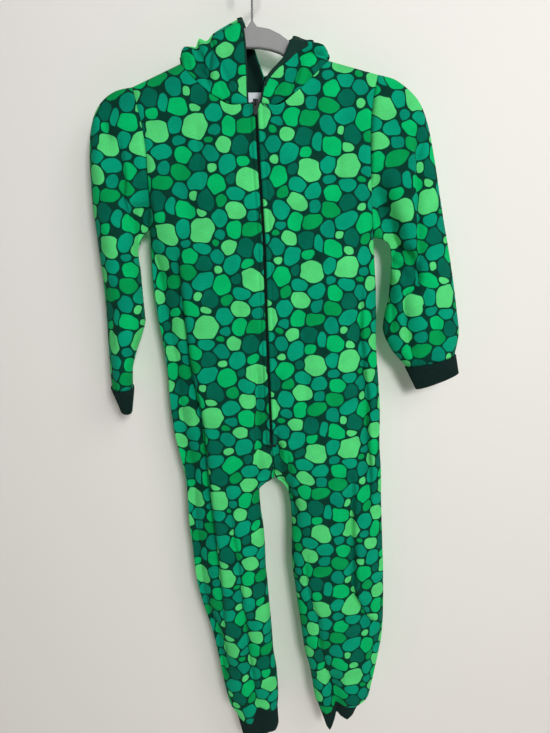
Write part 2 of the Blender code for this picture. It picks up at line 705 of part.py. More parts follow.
def zipper():
    rows = [row[0][1] for row in body_rows(1, True)[6:19]]
    strip("zip_tape", [-173, *rows, -684], (-7, -2.4, 2.4, 7), FLEECE + 0.5, FLEECE + 1.3)
    strip("zip_chain", [-179, *rows], (-1.9, -1.0, 1.0, 1.9), -0.5, FLEECE + 0.1)
    cx, cy, cz = PULL_AXIS
    face = -25.2
    # Slider: a plate before the cloth, a core between the fronts, and a bridge for the tab.
    block = ((-3.6, 4.6), (3.6, 4.6), (3.6, -5.2), (-3.6, -5.2))
    slider = plate("zip_slider", block, face - 2.4, face, cx, cz)
    core = rib("core_tool", ((face + 1.2, cz + 4.0), (face + 1.2, cz - 4.6),
                                      (face - 0.4, cz - 4.6), (face - 0.4, cz + 4.0)), 1.7, cx)
    bridge = rib("bridge_tool", (
        (face - 2.2, cz + 3.8), (cy - 1.6, cz + 2.6), (cy - 2.1, cz), (cy - 1.6, cz - 2.6),
        (face - 2.2, cz - 3.8), (face - 2.2, cz - 2.4), (cy - 0.9, cz - 1.6), (cy - 1.2, cz),
        (cy - 0.9, cz + 1.6), (face - 2.2, cz + 2.4)), 0.7, cx)
    for tool in (core, bridge):
        join(slider, tool)
    # Pull tab: a bar through the bridge, two arms and a plate with a round end.
    outline = ((-2.3, 0.6), (2.3, 0.6), (2.4, -6.0), (2.9, -12.5), (2.2, -15.6), (0, -16.8),
               (-2.2, -15.6), (-2.9, -12.5), (-2.4, -6.0))
    inside = ((-1.2, -0.6), (1.2, -0.6), (1.3, -4.6), (-1.3, -4.6))
    tab = plate("zip_pull", outline, cy - 0.55, cy + 0.55, cx, cz)
    hole = plate("hole_tool", inside, cy - 3, cy + 3, cx, cz)
    cut(tab, hole)
    # The tab's own origin lies on the axis that it turns on.
    tab.location = [c * 0.001 for c in PULL_AXIS]
    for vert in tab.data.vertices:
        vert.co -= tab.location


def plate(name, outline, y0, y1, cx, cz):
    """Outline in x, z from (cx, cz), pushed from y0 to y1."""
    count = len(outline)
    points = [(cx + x, y0, cz + z) for x, z in outline] + [(cx + x, y1, cz + z) for x, z in outline]
    faces = [tuple(range(count)), tuple(reversed(range(count, 2 * count)))]
    faces += [(k, k + count, (k + 1) % count + count, (k + 1) % count) for k in range(count)]
    return solid(name, np.array(points) * 0.001, faces)


def boolean(item, tool, operation):
    step = item.modifiers.new(operation.lower() + tool.name, "BOOLEAN")
    step.operation = operation
    step.object = tool
    step.solver = "EXACT"
    tool.hide_render = True
    tool.display_type = "WIRE"
    tool.hide_set(True)


def join(item, tool):
    boolean(item, tool, "UNION")


def cut(item, tool):
    boolean(item, tool, "DIFFERENCE")


def neck_label():
    front, back = 18.3, 19.1
    outline = ((-12, -149.5), (20, -149.0), (19, -173), (-11, -173.5))
    plate("neck_label", outline, front, back, 0, 0)


# ---------------------------------------------------------------------------------------- hanger


def hanger_body():
    """Flat arms with rounded edges: the outline drawn in by steps towards each face."""
    outline = np.array(HANGER_TOP + HANGER_LOW, float)
    count = len(outline)
    before, after = np.roll(outline, 1, 0), np.roll(outline, -1, 0)
    along = (after - before) / np.linalg.norm(after - before, axis=1)[:, None]
    inward = np.stack([along[:, 1], -along[:, 0]], 1)
    layers = ((-1.0, 2.6), (-0.88, 1.1), (-0.45, 0.0), (0.45, 0.0), (0.88, 1.1), (1.0, 2.6))
    points = []
    for y, draw in layers:
        draw_in = np.full(count, draw)
        draw_in[11:16] *= 0.45
        for (x, z), (nx, nz), d in zip(outline, inward, draw_in):
            points.append((x + nx * d, y * HANGER_HALF, z + nz * d))
    faces = grid_faces(len(layers), count, wrap=True)
    half = len(HANGER_TOP)
    for layer in (0, len(layers) - 1):
        base = layer * count
        low = list(range(count - 1, half - 1, -1))
        top = list(range(half))
        # Cross strips from the top edge to the lower edge, matched by x.
        i = j = 0
        while i < len(top) - 1 or j < len(low) - 1:
            next_top = outline[top[min(i + 1, len(top) - 1)]][0]
            next_low = outline[low[min(j + 1, len(low) - 1)]][0]
            if j == len(low) - 1 or (i < len(top) - 1 and next_top <= next_low):
                faces.append((base + top[i], base + top[i + 1], base + low[j]))
                i += 1
            else:
                faces.append((base + top[i], base + low[j + 1], base + low[j]))
                j += 1
    body = solid("hanger_body", np.array(points) * 0.001, faces)
    around = 12
    reach = WIRE + SEAM
    ring_low = [(reach * math.cos(2 * math.pi * a / around), reach * math.sin(2 * math.pi * a / around))
                for a in range(around)]
    socket = [(x, y, z) for z in (-69, -58) for x, y in ring_low]
    ends = [tuple(range(around)), tuple(reversed(range(around, 2 * around)))]
    cut(body, solid("socket_tool", np.array(socket) * 0.001, grid_faces(2, around, wrap=True) + ends))


def hanger_hook():
    """Bent wire with a round end, swept along the table."""
    path = np.array([(x, 0.0, z) for x, z in HOOK])
    count, around = len(path), 10
    points, faces = [], []
    for k, centre in enumerate(path):
        ahead = path[min(k + 1, count - 1)] - path[max(k - 1, 0)]
        ahead /= np.linalg.norm(ahead)
        side = np.array((-ahead[2], 0.0, ahead[0]))
        for a in range(around):
            angle = 2 * math.pi * a / around
            points.append(centre + WIRE * (math.cos(angle) * side + math.sin(angle) * np.array((0, 1.0, 0))))
    faces = grid_faces(count, around, wrap=True)
    faces.append(tuple(range(around)))
    points.append(path[-1] + (path[-1] - path[-2]) * 0.25)
    tip = len(points) - 1
    last = (count - 1) * around
    faces += [(last + a, last + (a + 1) % around, tip) for a in range(around)]
    solid("hanger_hook", np.array(points) * 0.001, faces)


# ------------------------------------------------------------------------------------------ build

for old in list(bpy.data.objects):
    bpy.data.objects.remove(old, do_unlink=True)

for side in (-1, 1):
    front_points = panel(side, True)
    back_points = panel(side, False)
    sleeve_and_cuff(side)
    ankle_cuff(side, front_points, back_points)
    hood(side)
zipper()
neck_label()
hanger_body()
hanger_hook()
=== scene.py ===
"""Looks of a child's hooded fleece one-piece on a plastic hanger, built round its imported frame.

Lengths in the tables are millimetres. Z is up and the front faces -Y. Side +1 is the wearer's left (+X).
"""

import math

import bmesh
import bpy
import numpy as np
from mathutils import Matrix, noise


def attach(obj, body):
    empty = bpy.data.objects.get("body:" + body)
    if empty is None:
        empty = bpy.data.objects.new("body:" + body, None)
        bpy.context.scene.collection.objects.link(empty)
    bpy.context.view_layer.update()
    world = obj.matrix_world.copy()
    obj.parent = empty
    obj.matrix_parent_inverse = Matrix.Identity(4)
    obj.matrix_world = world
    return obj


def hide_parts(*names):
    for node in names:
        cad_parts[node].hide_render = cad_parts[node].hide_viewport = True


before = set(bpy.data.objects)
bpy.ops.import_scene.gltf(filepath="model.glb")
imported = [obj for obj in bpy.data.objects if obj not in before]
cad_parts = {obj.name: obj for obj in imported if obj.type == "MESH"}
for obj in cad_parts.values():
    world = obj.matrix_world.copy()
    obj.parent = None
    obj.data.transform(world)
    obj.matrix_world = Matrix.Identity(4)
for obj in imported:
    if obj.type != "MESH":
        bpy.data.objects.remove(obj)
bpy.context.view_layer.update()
MM = 0.001

# ---------------------------------------------------------------------------------------- camera
# A wide lens at chest height, tilted down, so that the garment fills an upright frame.

camera_data = bpy.data.cameras.new("camera")
camera_data.lens = 27.06
camera = bpy.data.objects.new("camera", camera_data)
camera.location = (0.0315, -0.840, -0.3638)
camera.rotation_euler = (math.radians(77.6), 0, 0)
bpy.context.scene.collection.objects.link(camera)
bpy.context.scene.camera = camera

# -------------------------------------------------------------------------------- printed fleece
# Polyester microfleece, printed on its face with pebbles in six greens on near-black green and then
# brushed, so a short nap stands over the print. The reverse is plain and a little paler than the ground.

PRINT_REPEAT = (124, 140)  # half drop: the second copy of each pebble lies half a repeat up
PEBBLES = (
    # across, up, length, width, turn in degrees, shade
    (10, 14, 24, 20, 30, "teal"),
    (36, 10, 38, 35, 10, "pale"),
    (62, 3, 16, 13, 0, "sea"),
    (64, 26, 26, 20, 60, "teal"),
    (84, 8, 20, 24, -10, "bright"),
    (108, 8, 28, 18, 15, "mid"),
    (12, 40, 34, 21, -35, "bright"),
    (38, 36, 14, 12, 0, "pale"),
    (44, 52, 22, 27, 10, "deep"),
    (86, 36, 29, 21, -20, "pale"),
    (112, 28, 14, 17, 0, "sea"),
    (112, 48, 22, 20, 35, "teal"),
    (68, 50, 15, 19, 0, "mid"),
    (90, 60, 26, 19, 10, "teal"),
    (10, 66, 20, 24, 0, "sea"),
    (26, 60, 12, 11, 0, "pale"),
    (34, 78, 34, 22, 25, "teal"),
    (62, 72, 24, 30, -10, "bright"),
    (84, 80, 14, 13, 0, "deep"),
    (106, 76, 34, 30, -15, "pale"),
    (12, 92, 26, 19, -20, "mid"),
    (58, 94, 13, 12, 0, "pale"),
    (38, 102, 24, 20, 15, "deep"),
    (78, 100, 30, 21, 50, "teal"),
    (100, 102, 16, 13, 10, "bright"),
    (16, 114, 20, 22, 20, "bright"),
    (56, 114, 20, 24, 5, "sea"),
    (36, 126, 26, 17, -10, "teal"),
    (76, 126, 22, 19, 0, "pale"),
    (98, 122, 24, 24, -30, "deep"),
    (120, 116, 16, 20, 0, "teal"),
    (56, 134, 12, 11, 0, "mid"),
    (12, 133, 14, 12, 0, "sea"),
)
PRINT_GREENS = {
    "bright": "00B866",
    "pale": "54D67A",
    "teal": "009A75",
    "sea": "008A6D",
    "mid": "009A4F",
    "deep": "00654F",
}
PRINT_GROUND = "063A2D"
PEBBLE_FALL = 0.31  # how fast a pebble's pull fades away from its edge, per mm
PEBBLE_SHARE = 0.635  # share of all pull that it needs, which leaves the dark gaps between neighbours
PEBBLE_REACH = 1.9  # how far a pebble may swell where it has no neighbour


def linear(colour):
    """Linear red, green, blue and alpha of an sRGB hex colour."""
    parts = [int(colour[i:i + 2], 16) / 255 for i in (0, 2, 4)]
    return (*(p / 12.92 if p <= 0.04045 else ((p + 0.055) / 1.055) ** 2.4 for p in parts), 1)


def add(tree, kind, inputs, out=0, **settings):
    """Adds a node with its settings, fills its inputs with values or links, and returns one output."""
    node = tree.nodes.new("ShaderNode" + kind)
    for name, value in settings.items():
        setattr(node, name, value)
    for key, value in inputs.items():
        if isinstance(value, bpy.types.NodeSocket):
            tree.links.new(value, node.inputs[key])
        else:
            node.inputs[key].default_value = value
    return node.outputs[out]


def new_material(name):
    """Material of that name, with its node tree and its shader's inputs."""
    material = bpy.data.materials.new(name)
    material.use_nodes = True
    return material, material.node_tree, material.node_tree.nodes["Principled BSDF"].inputs


def pebble_print(tree, here):
    """Mask of the pebbles and their colour at a place on the cut, given in mm."""
    width, height = PRINT_REPEAT
    pull, strongest = None, None
    by_shade = {}
    for across, up, length, breadth, turn, shade in PEBBLES:
        a, b = length / 2, breadth / 2
        size = math.sqrt(a * b)
        for seed in ((across, up), (across + width, up + height / 2)):
            low = (seed[0] - width, seed[1] - height / 2, -1)
            high = (seed[0] + width, seed[1] + height / 2, 1)
            near = add(tree, "VectorMath", {0: here, 1: high, 2: low}, operation="WRAP")
            placing = {0: near, 1: (*seed, 0), 2: (0, 0, math.radians(turn)), 3: (a, b, 1)}
            inside = add(tree, "Mapping", placing, vector_type="TEXTURE")
            far = add(tree, "VectorMath", {0: inside}, out=1, operation="LENGTH")
            fade = add(tree, "Math", {0: math.exp(-PEBBLE_FALL * size), 1: far}, operation="POWER")
            here_pull = add(tree, "Math", {0: fade, 1: math.exp(PEBBLE_FALL * size)}, operation="MULTIPLY")
            pull = here_pull if pull is None else add(tree, "Math", {0: pull, 1: here_pull}, operation="ADD")
            if shade in by_shade:
                pair = {0: by_shade[shade], 1: here_pull}
                here_pull = add(tree, "Math", pair, operation="MAXIMUM")
            by_shade[shade] = here_pull
    for value in by_shade.values():
        strongest = value if strongest is None else add(tree, "Math", {0: strongest, 1: value},
                                                        operation="MAXIMUM")
    share = add(tree, "Math", {0: strongest, 1: pull}, operation="DIVIDE")
    alone = add(tree, "MapRange", {0: share, 1: PEBBLE_SHARE - 0.06, 2: PEBBLE_SHARE + 0.06},
                interpolation_type="SMOOTHSTEP")
    edge = math.exp(-PEBBLE_FALL * PEBBLE_REACH)
    within = add(tree, "MapRange", {0: strongest, 1: edge * 0.84, 2: edge * 1.16},
                 interpolation_type="SMOOTHSTEP")
    mask = add(tree, "Math", {0: alone, 1: within}, operation="MULTIPLY")
    almost = add(tree, "Math", {0: strongest, 1: 0.9999}, operation="MULTIPLY")
    colour = linear(PRINT_GREENS["bright"])
    for shade, value in by_shade.items():
        wins = add(tree, "Math", {0: value, 1: almost}, operation="GREATER_THAN")
        colour = add(tree, "Mix", {0: wins, 6: colour, 7: linear(PRINT_GREENS[shade])}, out=2,
                     data_type="RGBA")
    return mask, colour


def nap(tree, shader, place, grain, depth):
    """Brushed pile: fine uneven bump; grain is the size of its tufts and depth their height, in mm."""
    tufts = add(tree, "TexNoise", {0: place, "Scale": 1 / grain, "Detail": 2.0, "Roughness": 0.6})
    bump = {"Strength": 0.5, "Distance": depth * MM, "Height": tufts}
    tree.links.new(add(tree, "Bump", bump), shader["Normal"])
    return tufts


def printed_fleece():
    material, tree, shader = new_material("printed_microfleece")
    cut = add(tree, "UVMap", {}, uv_map="cut")
    flat = add(tree, "VectorMath", {0: cut, "Scale": 1 / MM}, operation="SCALE")
    here = flat
    for reach, swing in ((34, 5), (13, 4.5)):
        drift = add(tree, "TexNoise", {0: flat, "Scale": 1 / reach, "Detail": 0.0}, out=1)
        centred = add(tree, "VectorMath", {0: drift, 1: (0.5, 0.5, 0.5)}, operation="SUBTRACT")
        here = add(tree, "VectorMath", {0: centred, 1: (swing, swing, 0), 2: here}, operation="MULTIPLY_ADD")
    mask, colour = pebble_print(tree, here)
    dyed = add(tree, "Mix", {0: mask, 6: linear(PRINT_GROUND), 7: colour}, out=2, data_type="RGBA")
    tufts = nap(tree, shader, flat, 1.5, 0.5)
    stroked = add(tree, "TexNoise", {0: flat, "Scale": 1 / 26, "Detail": 2.0})
    lie = add(tree, "MapRange", {0: stroked, 1: 0.3, 2: 0.7, 3: 0.9, 4: 1.08})
    speckle = add(tree, "MapRange", {0: tufts, 1: 0.3, 2: 0.7, 3: 0.86, 4: 1.12})
    shade = add(tree, "Math", {0: lie, 1: speckle}, operation="MULTIPLY")
    worn = add(tree, "VectorMath", {0: dyed, "Scale": shade}, operation="SCALE")
    tree.links.new(worn, shader["Base Color"])
    shader["Roughness"].default_value = 0.95
    shader["Specular IOR Level"].default_value = 0.06
    shader["Sheen Weight"].default_value = 0.04
    shader["Sheen Roughness"].default_value = 0.6
    shader["Sheen Tint"].default_value = linear("8FD8AE")
    return material


def plain_knit(name, colour, grain):
    """Plain dyed jersey or the reverse of the fleece: fine even loops, no sheen."""
    material, tree, shader = new_material(name)
    place = add(tree, "TexCoord", {}, out=3)
    metres = add(tree, "VectorMath", {0: place, "Scale": 1 / MM}, operation="SCALE")
    tufts = nap(tree, shader, metres, grain, 0.35)
    shade = add(tree, "MapRange", {0: tufts, 1: 0.3, 2: 0.7, 3: 0.82, 4: 1.15})
    worn = add(tree, "VectorMath", {0: linear(colour)[:3], "Scale": shade}, operation="SCALE")
    tree.links.new(worn, shader["Base Color"])
    shader["Roughness"].default_value = 0.92
    shader["Specular IOR Level"].default_value = 0.2
    return material


FLEECE_FACE = printed_fleece()
FLEECE_REVERSE = plain_knit("fleece_reverse", "2C6B52", 1.4)

# ------------------------------------------------------------------------------ fronts and backs
# Two fronts either side of the zip and two backs with a centre seam, each cut in one from shoulder to
# ankle, overlocked together. They hang nearly flat, pressed into long upright folds.

FLEECE = 1.8
SEAM = 0.3
ZIP_HALF = 1.8
ZIP_FLARE = {-1: 3.0, 1: 5.5}  # the fronts part a little at the top of the zip
TURNED = 0.45  # extra cloth, as a share of its depth, where it turns away at a side
LEAN = math.radians(2.3)  # the whole garment hangs with its wearer's left side a little higher
DOWN = np.array((math.sin(LEAN), 0, -math.cos(LEAN)))
ACROSS = np.array((math.cos(LEAN), 0, math.sin(LEAN)))

# Armhole, top to bottom in eight steps of 22.5 degrees: x at each step, then z at top and bottom.
ARMHOLE = {
    -1: ((-169, -166, -160, -153, -149, -149, -150, -152, -154), -147, -342),
    +1: ((176, 173, 168, 165, 166, 170, 173, 175, 177), -131, -353),
}
ARMHOLE_DEPTH = 22
# Neckline from the shoulder to the centre: x, z.
FRONT_NECK = {
    -1: ((-100, -117), (-92, -127), (-76, -144), (-53, -163), (-26, -175), (5, -171)),
    +1: ((105, -113), (98, -122), (82, -138), (60, -158), (33, -175), (5, -171)),
}
BACK_NECK = {
    -1: ((-100, -117), (-92, -125), (-74, -135), (-48, -143), (-18, -148), (14, -149)),
    +1: ((105, -113), (98, -120), (82, -130), (62, -139), (38, -146), (14, -149)),
}
CENTRE_ROWS = (-217, -262, -306)  # z of the centre seam at the last three rows of the armhole
YOKE_DEPTH = (0, 9.5, 15, 20, 23, 24.5, 27, 29, 30)  # half thickness of the body at those rows

# Centre line of the zip and of the seam below it, and of the back seam: z, x.
ZIP_LINE = ((-165, 5), (-237, 8), (-298, 12), (-362, 16), (-441, 18), (-502, 20), (-595, 23.5),
            (-660, 26), (-730, 31))
BACK_LINE = ((-145, 14), (-450, 20), (-730, 31))
ZIP_END = -668

# Rows below the armholes. z_in and z_out: height at the inner and at the outer edge. x: edges of the
# body, then of each leg. depth: half thickness. joined: 1 where the halves are one body, 0 in the legs.
BODY = (
    # z_in, z_out, right_out, right_in, left_in, left_out, depth, joined
    (-346, -372, -153, None, None, 179, 31, 1),
    (-384, -404, -153, None, None, 182, 32, 1),
    (-420, -436, -151, None, None, 184.5, 32, 1),
    (-456, -468, -148, None, None, 186, 32, 1),
    (-492, -500, -143, None, None, 187, 32, 1),
    (-528, -532, -139, None, None, 189.5, 32, 1),
    (-564, -564, -136, None, None, 193, 32, 1),
    (-600, -598, -135, None, None, 196.5, 32, 1),
    (-634, -630, -132.5, None, None, 198.5, 32, 1),
    (-664, -660, -129, None, None, 199, 31, 1),
    (-692, -690, -123, None, None, 201, 31, 0.85),
    (-715, -716, -117.5, None, None, 203.5, 30, 0.5),
    (-730, -740, -113.5, 31, 31, 205, 30, 0),
    (-741, -758, -112.5, 17, 43, 205.5, 30, 0),
    (-755, -776, -112, 6, 52, 206.5, 30, 0),
    (-786, -800, -111.5, 8, 58, 208, 30, 0),
    (-820, -828, -110, 12.5, 59.5, 210, 29, 0),
    (-855, -858, -106.5, 15, 59.5, 212, 29, 0),
    (-890, -890, -104.5, 16, 60.5, 214.5, 29, 0),
    (-924, -924, -101, 19, 65, 216, 28, 0),
    (-958, -958, -94, 21.5, 69.5, 217.5, 28, 0),
    (-992, -992, -84.5, 24.5, 74.5, 218, 28, 0),
    (-1026, -1026, -75.5, 27, 79, 217, 27, 0),
    (-1058, -1058, -69.5, 29, 84, 213, 27, 0),
    (-1090, -1090, -64, 34, 92.5, 208.5, 26, 0),
    (-1120, -1120, -59, 36.5, 97.5, 203.5, 26, 0),
    (-1148, -1148, -53, 37.5, 102, 198, 25, 0),
)
# The last row of each leg follows its gathered hem: x, z from the outer edge to the inner one.
HEM = {
    -1: ((-38, -1178), (-31, -1188), (-18, -1196), (-10, -1195), (-5, -1185), (-2, -1167), (3, -1160),
         (12, -1164), (23, -1172), (36, -1172)),
    +1: ((184, -1158), (173, -1162), (155, -1161), (144, -1155), (139, -1152), (136, -1160),
         (131, -1172), (122, -1178), (114, -1174), (108, -1162)),
}
HEM_DEPTH = 21

# Broad troughs. Start and end of the bottom line (x, z), depth, half width on its -X and +X sides.
FRONT_FOLDS = (
    (-156, -400, -140, -600, 17, 34, 32),
    (-140, -600, -120, -740, 17, 34, 32),
    (-118, -740, -104, -925, 16, 32, 30),
    (-104, -925, -70, -1080, 15, 32, 28),
    (4, -560, 4, -722, 5, 4, 26),
    (-20, -1000, -4, -1150, 7, 8, 20),
    (128, -1090, 142, -1150, 8, 16, 14),
    (-118, -190, -92, -330, 4, 18, 18),
    (128, -185, 108, -330, 4, 18, 18),
    (60, -330, 75, -560, 3, 20, 20),
    (-202, -190, -200, -262, 6, 16, 16),
    (184, -300, 202, -352, 20, 11, 13),
    (-158, -316, -164, -356, 14, 10, 9),
    (206, -384, 220, -404, 8, 9, 9),
    (30, -664, 54, -770, 12, 18, 9),
    (180, -1000, 172, -1100, 4, 12, 12),
)
BACK_FOLDS = (
    (-62, -290, -78, -520, 5, 20, 16),
    (-78, -520, -66, -730, 6, 20, 16),
    (88, -285, 104, -520, 5, 16, 22),
    (104, -520, 112, -740, 6, 16, 22),
    (20, -330, 24, -560, 3, 20, 20),
    (-60, -770, -48, -960, 6, 16, 20),
    (-48, -960, -18, -1150, 5, 14, 16),
    (124, -780, 130, -950, 6, 18, 16),
    (130, -950, 142, -1160, 5, 14, 14),
    (-205, -200, -198, -400, 5, 14, 14),
    (238, -210, 240, -440, 6, 15, 15),
)
FOLD_END = 30  # how far a trough runs out beyond its ends

# Sharp creases inside and beside those troughs: route (x, z), depth, reach on its -X and +X sides, and
# how much cloth is tucked away in the crease, where the print jumps.
FRONT_CREASES = (
    (((-112, -370), (-111, -414), (-108, -452), (-104, -496), (-101, -534), (-96, -568), (-89, -597),
      (-84, -631), (-81, -662), (-79, -699), (-76, -743), (-72, -782), (-68, -826), (-64, -871),
      (-60, -914), (-57, -955), (-54, -1010)), 12, 60, 2, 14),
    (((-111, -390), (-108, -452), (-101, -534), (-89, -597), (-81, -662), (-76, -743), (-68, -826),
      (-60, -914), (-54, -1000)), 10, 7, 2, 0),
    (((-74, -980), (-62, -1022), (-55, -1041), (-52, -1080)), 8, 10, 2, 8),
    (((-45, -735), (-42, -774), (-38, -798), (-36, -830), (-30, -863), (-24, -941), (-21, -973),
      (-13, -1057), (-5, -1109), (-1, -1162)), 7, 10, 2.5, 8),
    (((4, -545), (3, -610), (3, -690), (6, -728)), 5.5, 2, 14, 9),
    (((40, -668), (21, -680)), 3.4, 4, 3, 4),
    (((42, -684), (17, -698)), 4, 4, 3, 5),
    (((48, -702), (24, -718)), 4, 4, 3, 5),
    (((49, -676), (58, -735)), 5, 5, 4, 5),
    (((34, -660), (42, -700)), 4, 3, 5, 4),
    (((160, -420), (160, -473), (161, -500), (165, -519), (167, -543), (169, -565), (175, -592),
      (175, -640), (177, -661), (180, -685), (183, -708), (187, -790)), 15, 15, 2.5, 6),
    (((153, -715), (158, -763), (156, -795), (157, -825), (161, -855), (163, -912), (165, -939),
      (172, -952), (186, -977), (207, -995)), 16, 13, 2.5, 12),
    (((84, -860), (83, -893), (88, -934), (99, -967), (106, -988), (107, -1015), (112, -1047),
      (118, -1066), (120, -1094), (128, -1120)), 6, 7, 2.5, 7),
    (((124, -1090), (131, -1130), (134, -1158)), 9, 2.5, 14, 6),
    (((-188, -215), (-183, -256), (-182, -278), (-185, -297), (-180, -315), (-176, -344), (-172, -366)),
     9, 12, 2, 6),
    (((-177, -315), (-163, -310), (-144, -306)), 7, 8, 2, 6),
    (((-170, -304), (-166, -337), (-169, -366)), 12, 3, 6, 6),
    (((-216, -186), (-206, -200), (-199, -222)), 5, 8, 3, 4),
    (((230, -200), (232, -260), (236, -301), (238, -327), (239, -353), (241, -372), (242, -393),
      (243, -420)), 14, 2, 18, 12),
    (((221, -202), (232, -243)), 4, 5, 4, 4),
    (((241, -212), (234, -246)), 5, 4, 5, 4),
    (((196, -346), (216, -365), (227, -372), (235, -383), (242, -401), (243, -416), (236, -427)),
     17, 18, 2, 11),
    (((242, -424), (227, -435), (223, -446), (226, -465), (229, -484), (235, -513), (245, -535)),
     13, 2.5, 13, 9),
    (((252, -420), (250, -470)), 4, 6, 7, 3),
    (((205, -424), (209, -492)), 5, 6, 5, 4),
    (((196, -300), (206, -334), (214, -352)), 5, 5, 4, 5),
    (((-80, -196), (-70, -290)), 3, 9, 6, 2),
    (((128, -190), (120, -288)), 3, 6, 9, 2),
    (((-118, -700), (-108, -760)), 4, 6, 6, 5),
    (((70, -420), (76, -520), (82, -640)), 2, 12, 10, 0),
    (((118, -520), (122, -700), (116, -830)), 2.5, 10, 12, 0),
    (((-210, -440), (-214, -520)), 3.5, 7, 7, 2),
    (((270, -430), (278, -500), (282, -530)), 3.5, 7, 7, 2),
    (((-20, -430), (-26, -520)), 2, 9, 7, 0),
    (((-88, -1000), (-72, -1090)), 4, 7, 5, 4),
    (((200, -1010), (196, -1100)), 5, 6, 7, 4),
)
BACK_CREASES = (
    (((-62, -300), (-74, -430), (-78, -540), (-70, -700)), 5.5, 11, 4, 9),
    (((90, -290), (102, -450), (108, -600), (112, -735)), 5.5, 4, 11, 9),
    (((20, -340), (22, -450), (25, -560)), 2.4, 8, 8, 3),
    (((-60, -780), (-52, -900), (-36, -1040), (-20, -1150)), 5.5, 4, 10, 8),
    (((126, -780), (129, -900), (136, -1040), (143, -1160)), 5.5, 10, 4, 8),
    (((170, -520), (176, -700), (180, -860)), 3.2, 9, 9, 4),
    (((-120, -430), (-112, -600), (-104, -720)), 3.2, 9, 9, 4),
    (((40, -660), (33, -700), (30, -728)), 3.0, 6, 6, 4),
    (((-205, -210), (-202, -300), (-198, -420)), 4.2, 8, 5, 5),
    (((238, -220), (240, -330), (244, -450)), 4.2, 5, 8, 5),
    (((-60, -200), (-52, -260)), 1.8, 9, 9, 0),
    (((105, -190), (96, -270)), 1.8, 9, 9, 0),
)
# Soft unevenness all over: width and height of its waves, and how far it stands in or out.
UNEVEN = ((46, 150, 1.5), (17, 52, 0.45))


def eased(values, where):
    """Rows of values read between their rows at each place, smoothly and with no overshoot."""
    values = np.asarray(values, float)
    steps = np.diff(values, axis=0)
    before, after = steps[:-1], steps[1:]
    turning = before * after > 0
    slopes = np.vstack([steps[:1], np.zeros_like(before), steps[-1:]])
    slopes[1:-1][turning] = (2 * before * after)[turning] / (before + after)[turning]
    first = np.clip(where.astype(int), 0, len(values) - 2)
    t = (where - first)[:, None]
    start = values[first] * (1 + 2 * t) + slopes[first] * t
    end = values[first + 1] * (3 - 2 * t) + slopes[first + 1] * (t - 1)
    return start * (1 - t) ** 2 + end * t**2


def spread(lengths, spacing):
    """Places along a table's rows that lie about spacing apart, given the lengths between the rows."""
    places = [0.0]
    for row, length in enumerate(lengths):
        count = max(1, round(length / spacing))
        places += [row + (k + 1) / count for k in range(count)]
    return np.array(places)


def at(table, where):
    """Value read from a table of (key, value) pairs, its keys rising or falling."""
    keys, values = np.array(table, float).T
    order = np.argsort(keys)
    return np.interp(where, keys[order], values[order])


def trough(x, z, x0, z0, x1, z1, depth, minus, plus):
    """Depth of one broad, round-bottomed fold at points seen from the front."""
    length = math.hypot(x1 - x0, z1 - z0)
    ux, uz = (x1 - x0) / length, (z1 - z0) / length
    along = (x - x0) * ux + (z - z0) * uz
    side = (z - z0) * ux - (x - x0) * uz
    beyond = np.maximum(0, np.maximum(-along, along - length))
    width = np.where(side > 0, plus, minus)
    return depth * np.exp(-((side / width) ** 2) - (beyond / FOLD_END) ** 2)


def crease(x, z, route, depth, minus, plus, tucked=0.0):
    """Depth of one sharp crease, deepest on its route and fading towards both ends, and how far the
    cloth on either side has been drawn towards it (x, z)."""
    lengths = [math.dist(a, b) for a, b in zip(route, route[1:])]
    nearest = np.full(x.shape, 1e6)
    side, done, nx, nz = (np.zeros(x.shape) for _ in range(4))
    so_far = 0.0
    for (x0, z0), (x1, z1), length in zip(route, route[1:], lengths):
        ux, uz = (x1 - x0) / length, (z1 - z0) / length
        along = np.clip((x - x0) * ux + (z - z0) * uz, 0, length)
        gap = np.hypot(x - x0 - along * ux, z - z0 - along * uz)
        closer = gap < nearest
        nearest = np.where(closer, gap, nearest)
        side = np.where(closer, (z - z0) * ux - (x - x0) * uz, side)
        done = np.where(closer, so_far + along, done)
        nx, nz = np.where(closer, -uz, nx), np.where(closer, ux, nz)
        so_far += length
    fade = np.sin(math.pi * np.clip(done / so_far, 0.0, 1.0)) ** 0.5
    reach = np.where(side > 0, plus, minus)
    deep = depth * fade * np.exp(-(np.sqrt(nearest**2 + 0.5) - 0.7) / reach)
    drawn = tucked / 2 * fade * np.tanh(side / 1.6) * np.exp(-((nearest / 60) ** 2))
    return deep, drawn * nx, drawn * nz


def waves(x, z, wide, tall, seed):
    """Soft irregular waves, -1 to 1, each about as wide and tall as given."""
    flat = [noise.noise((a / wide, b / tall, seed)) for a, b in zip(x.ravel(), z.ravel())]
    return np.array(flat).reshape(x.shape)


def pressed_in(x, z, front):
    """How far hanging cloth lies inside its smooth form at points seen from the front, in mm, and how
    far across and up its creases have drawn it."""
    deep, across, up = (np.zeros(x.shape) for _ in range(3))
    for fold in FRONT_FOLDS if front else BACK_FOLDS:
        deep = np.maximum(deep, trough(x, z, *fold))
    for fold in FRONT_CREASES if front else BACK_CREASES:
        for total, part in zip((deep, across, up), crease(x, z, *fold)):
            total += part
    for number, (wide, tall, height) in enumerate(UNEVEN):
        deep -= height * waves(x, z, wide, tall, number + (0.5 if front else 7.5))
    return deep, across, up


def puckers(along, away, seed):
    """Cloth drawn in by a row of stitches: a groove on the seam and short uneven ripples beside it."""
    ripple = np.array([noise.noise((a / 9, seed, 0)) for a in along.ravel()]).reshape(along.shape)
    return 3.2 * np.exp(-((away / 3.2) ** 2)) + 1.6 * ripple * np.exp(-away / 12)


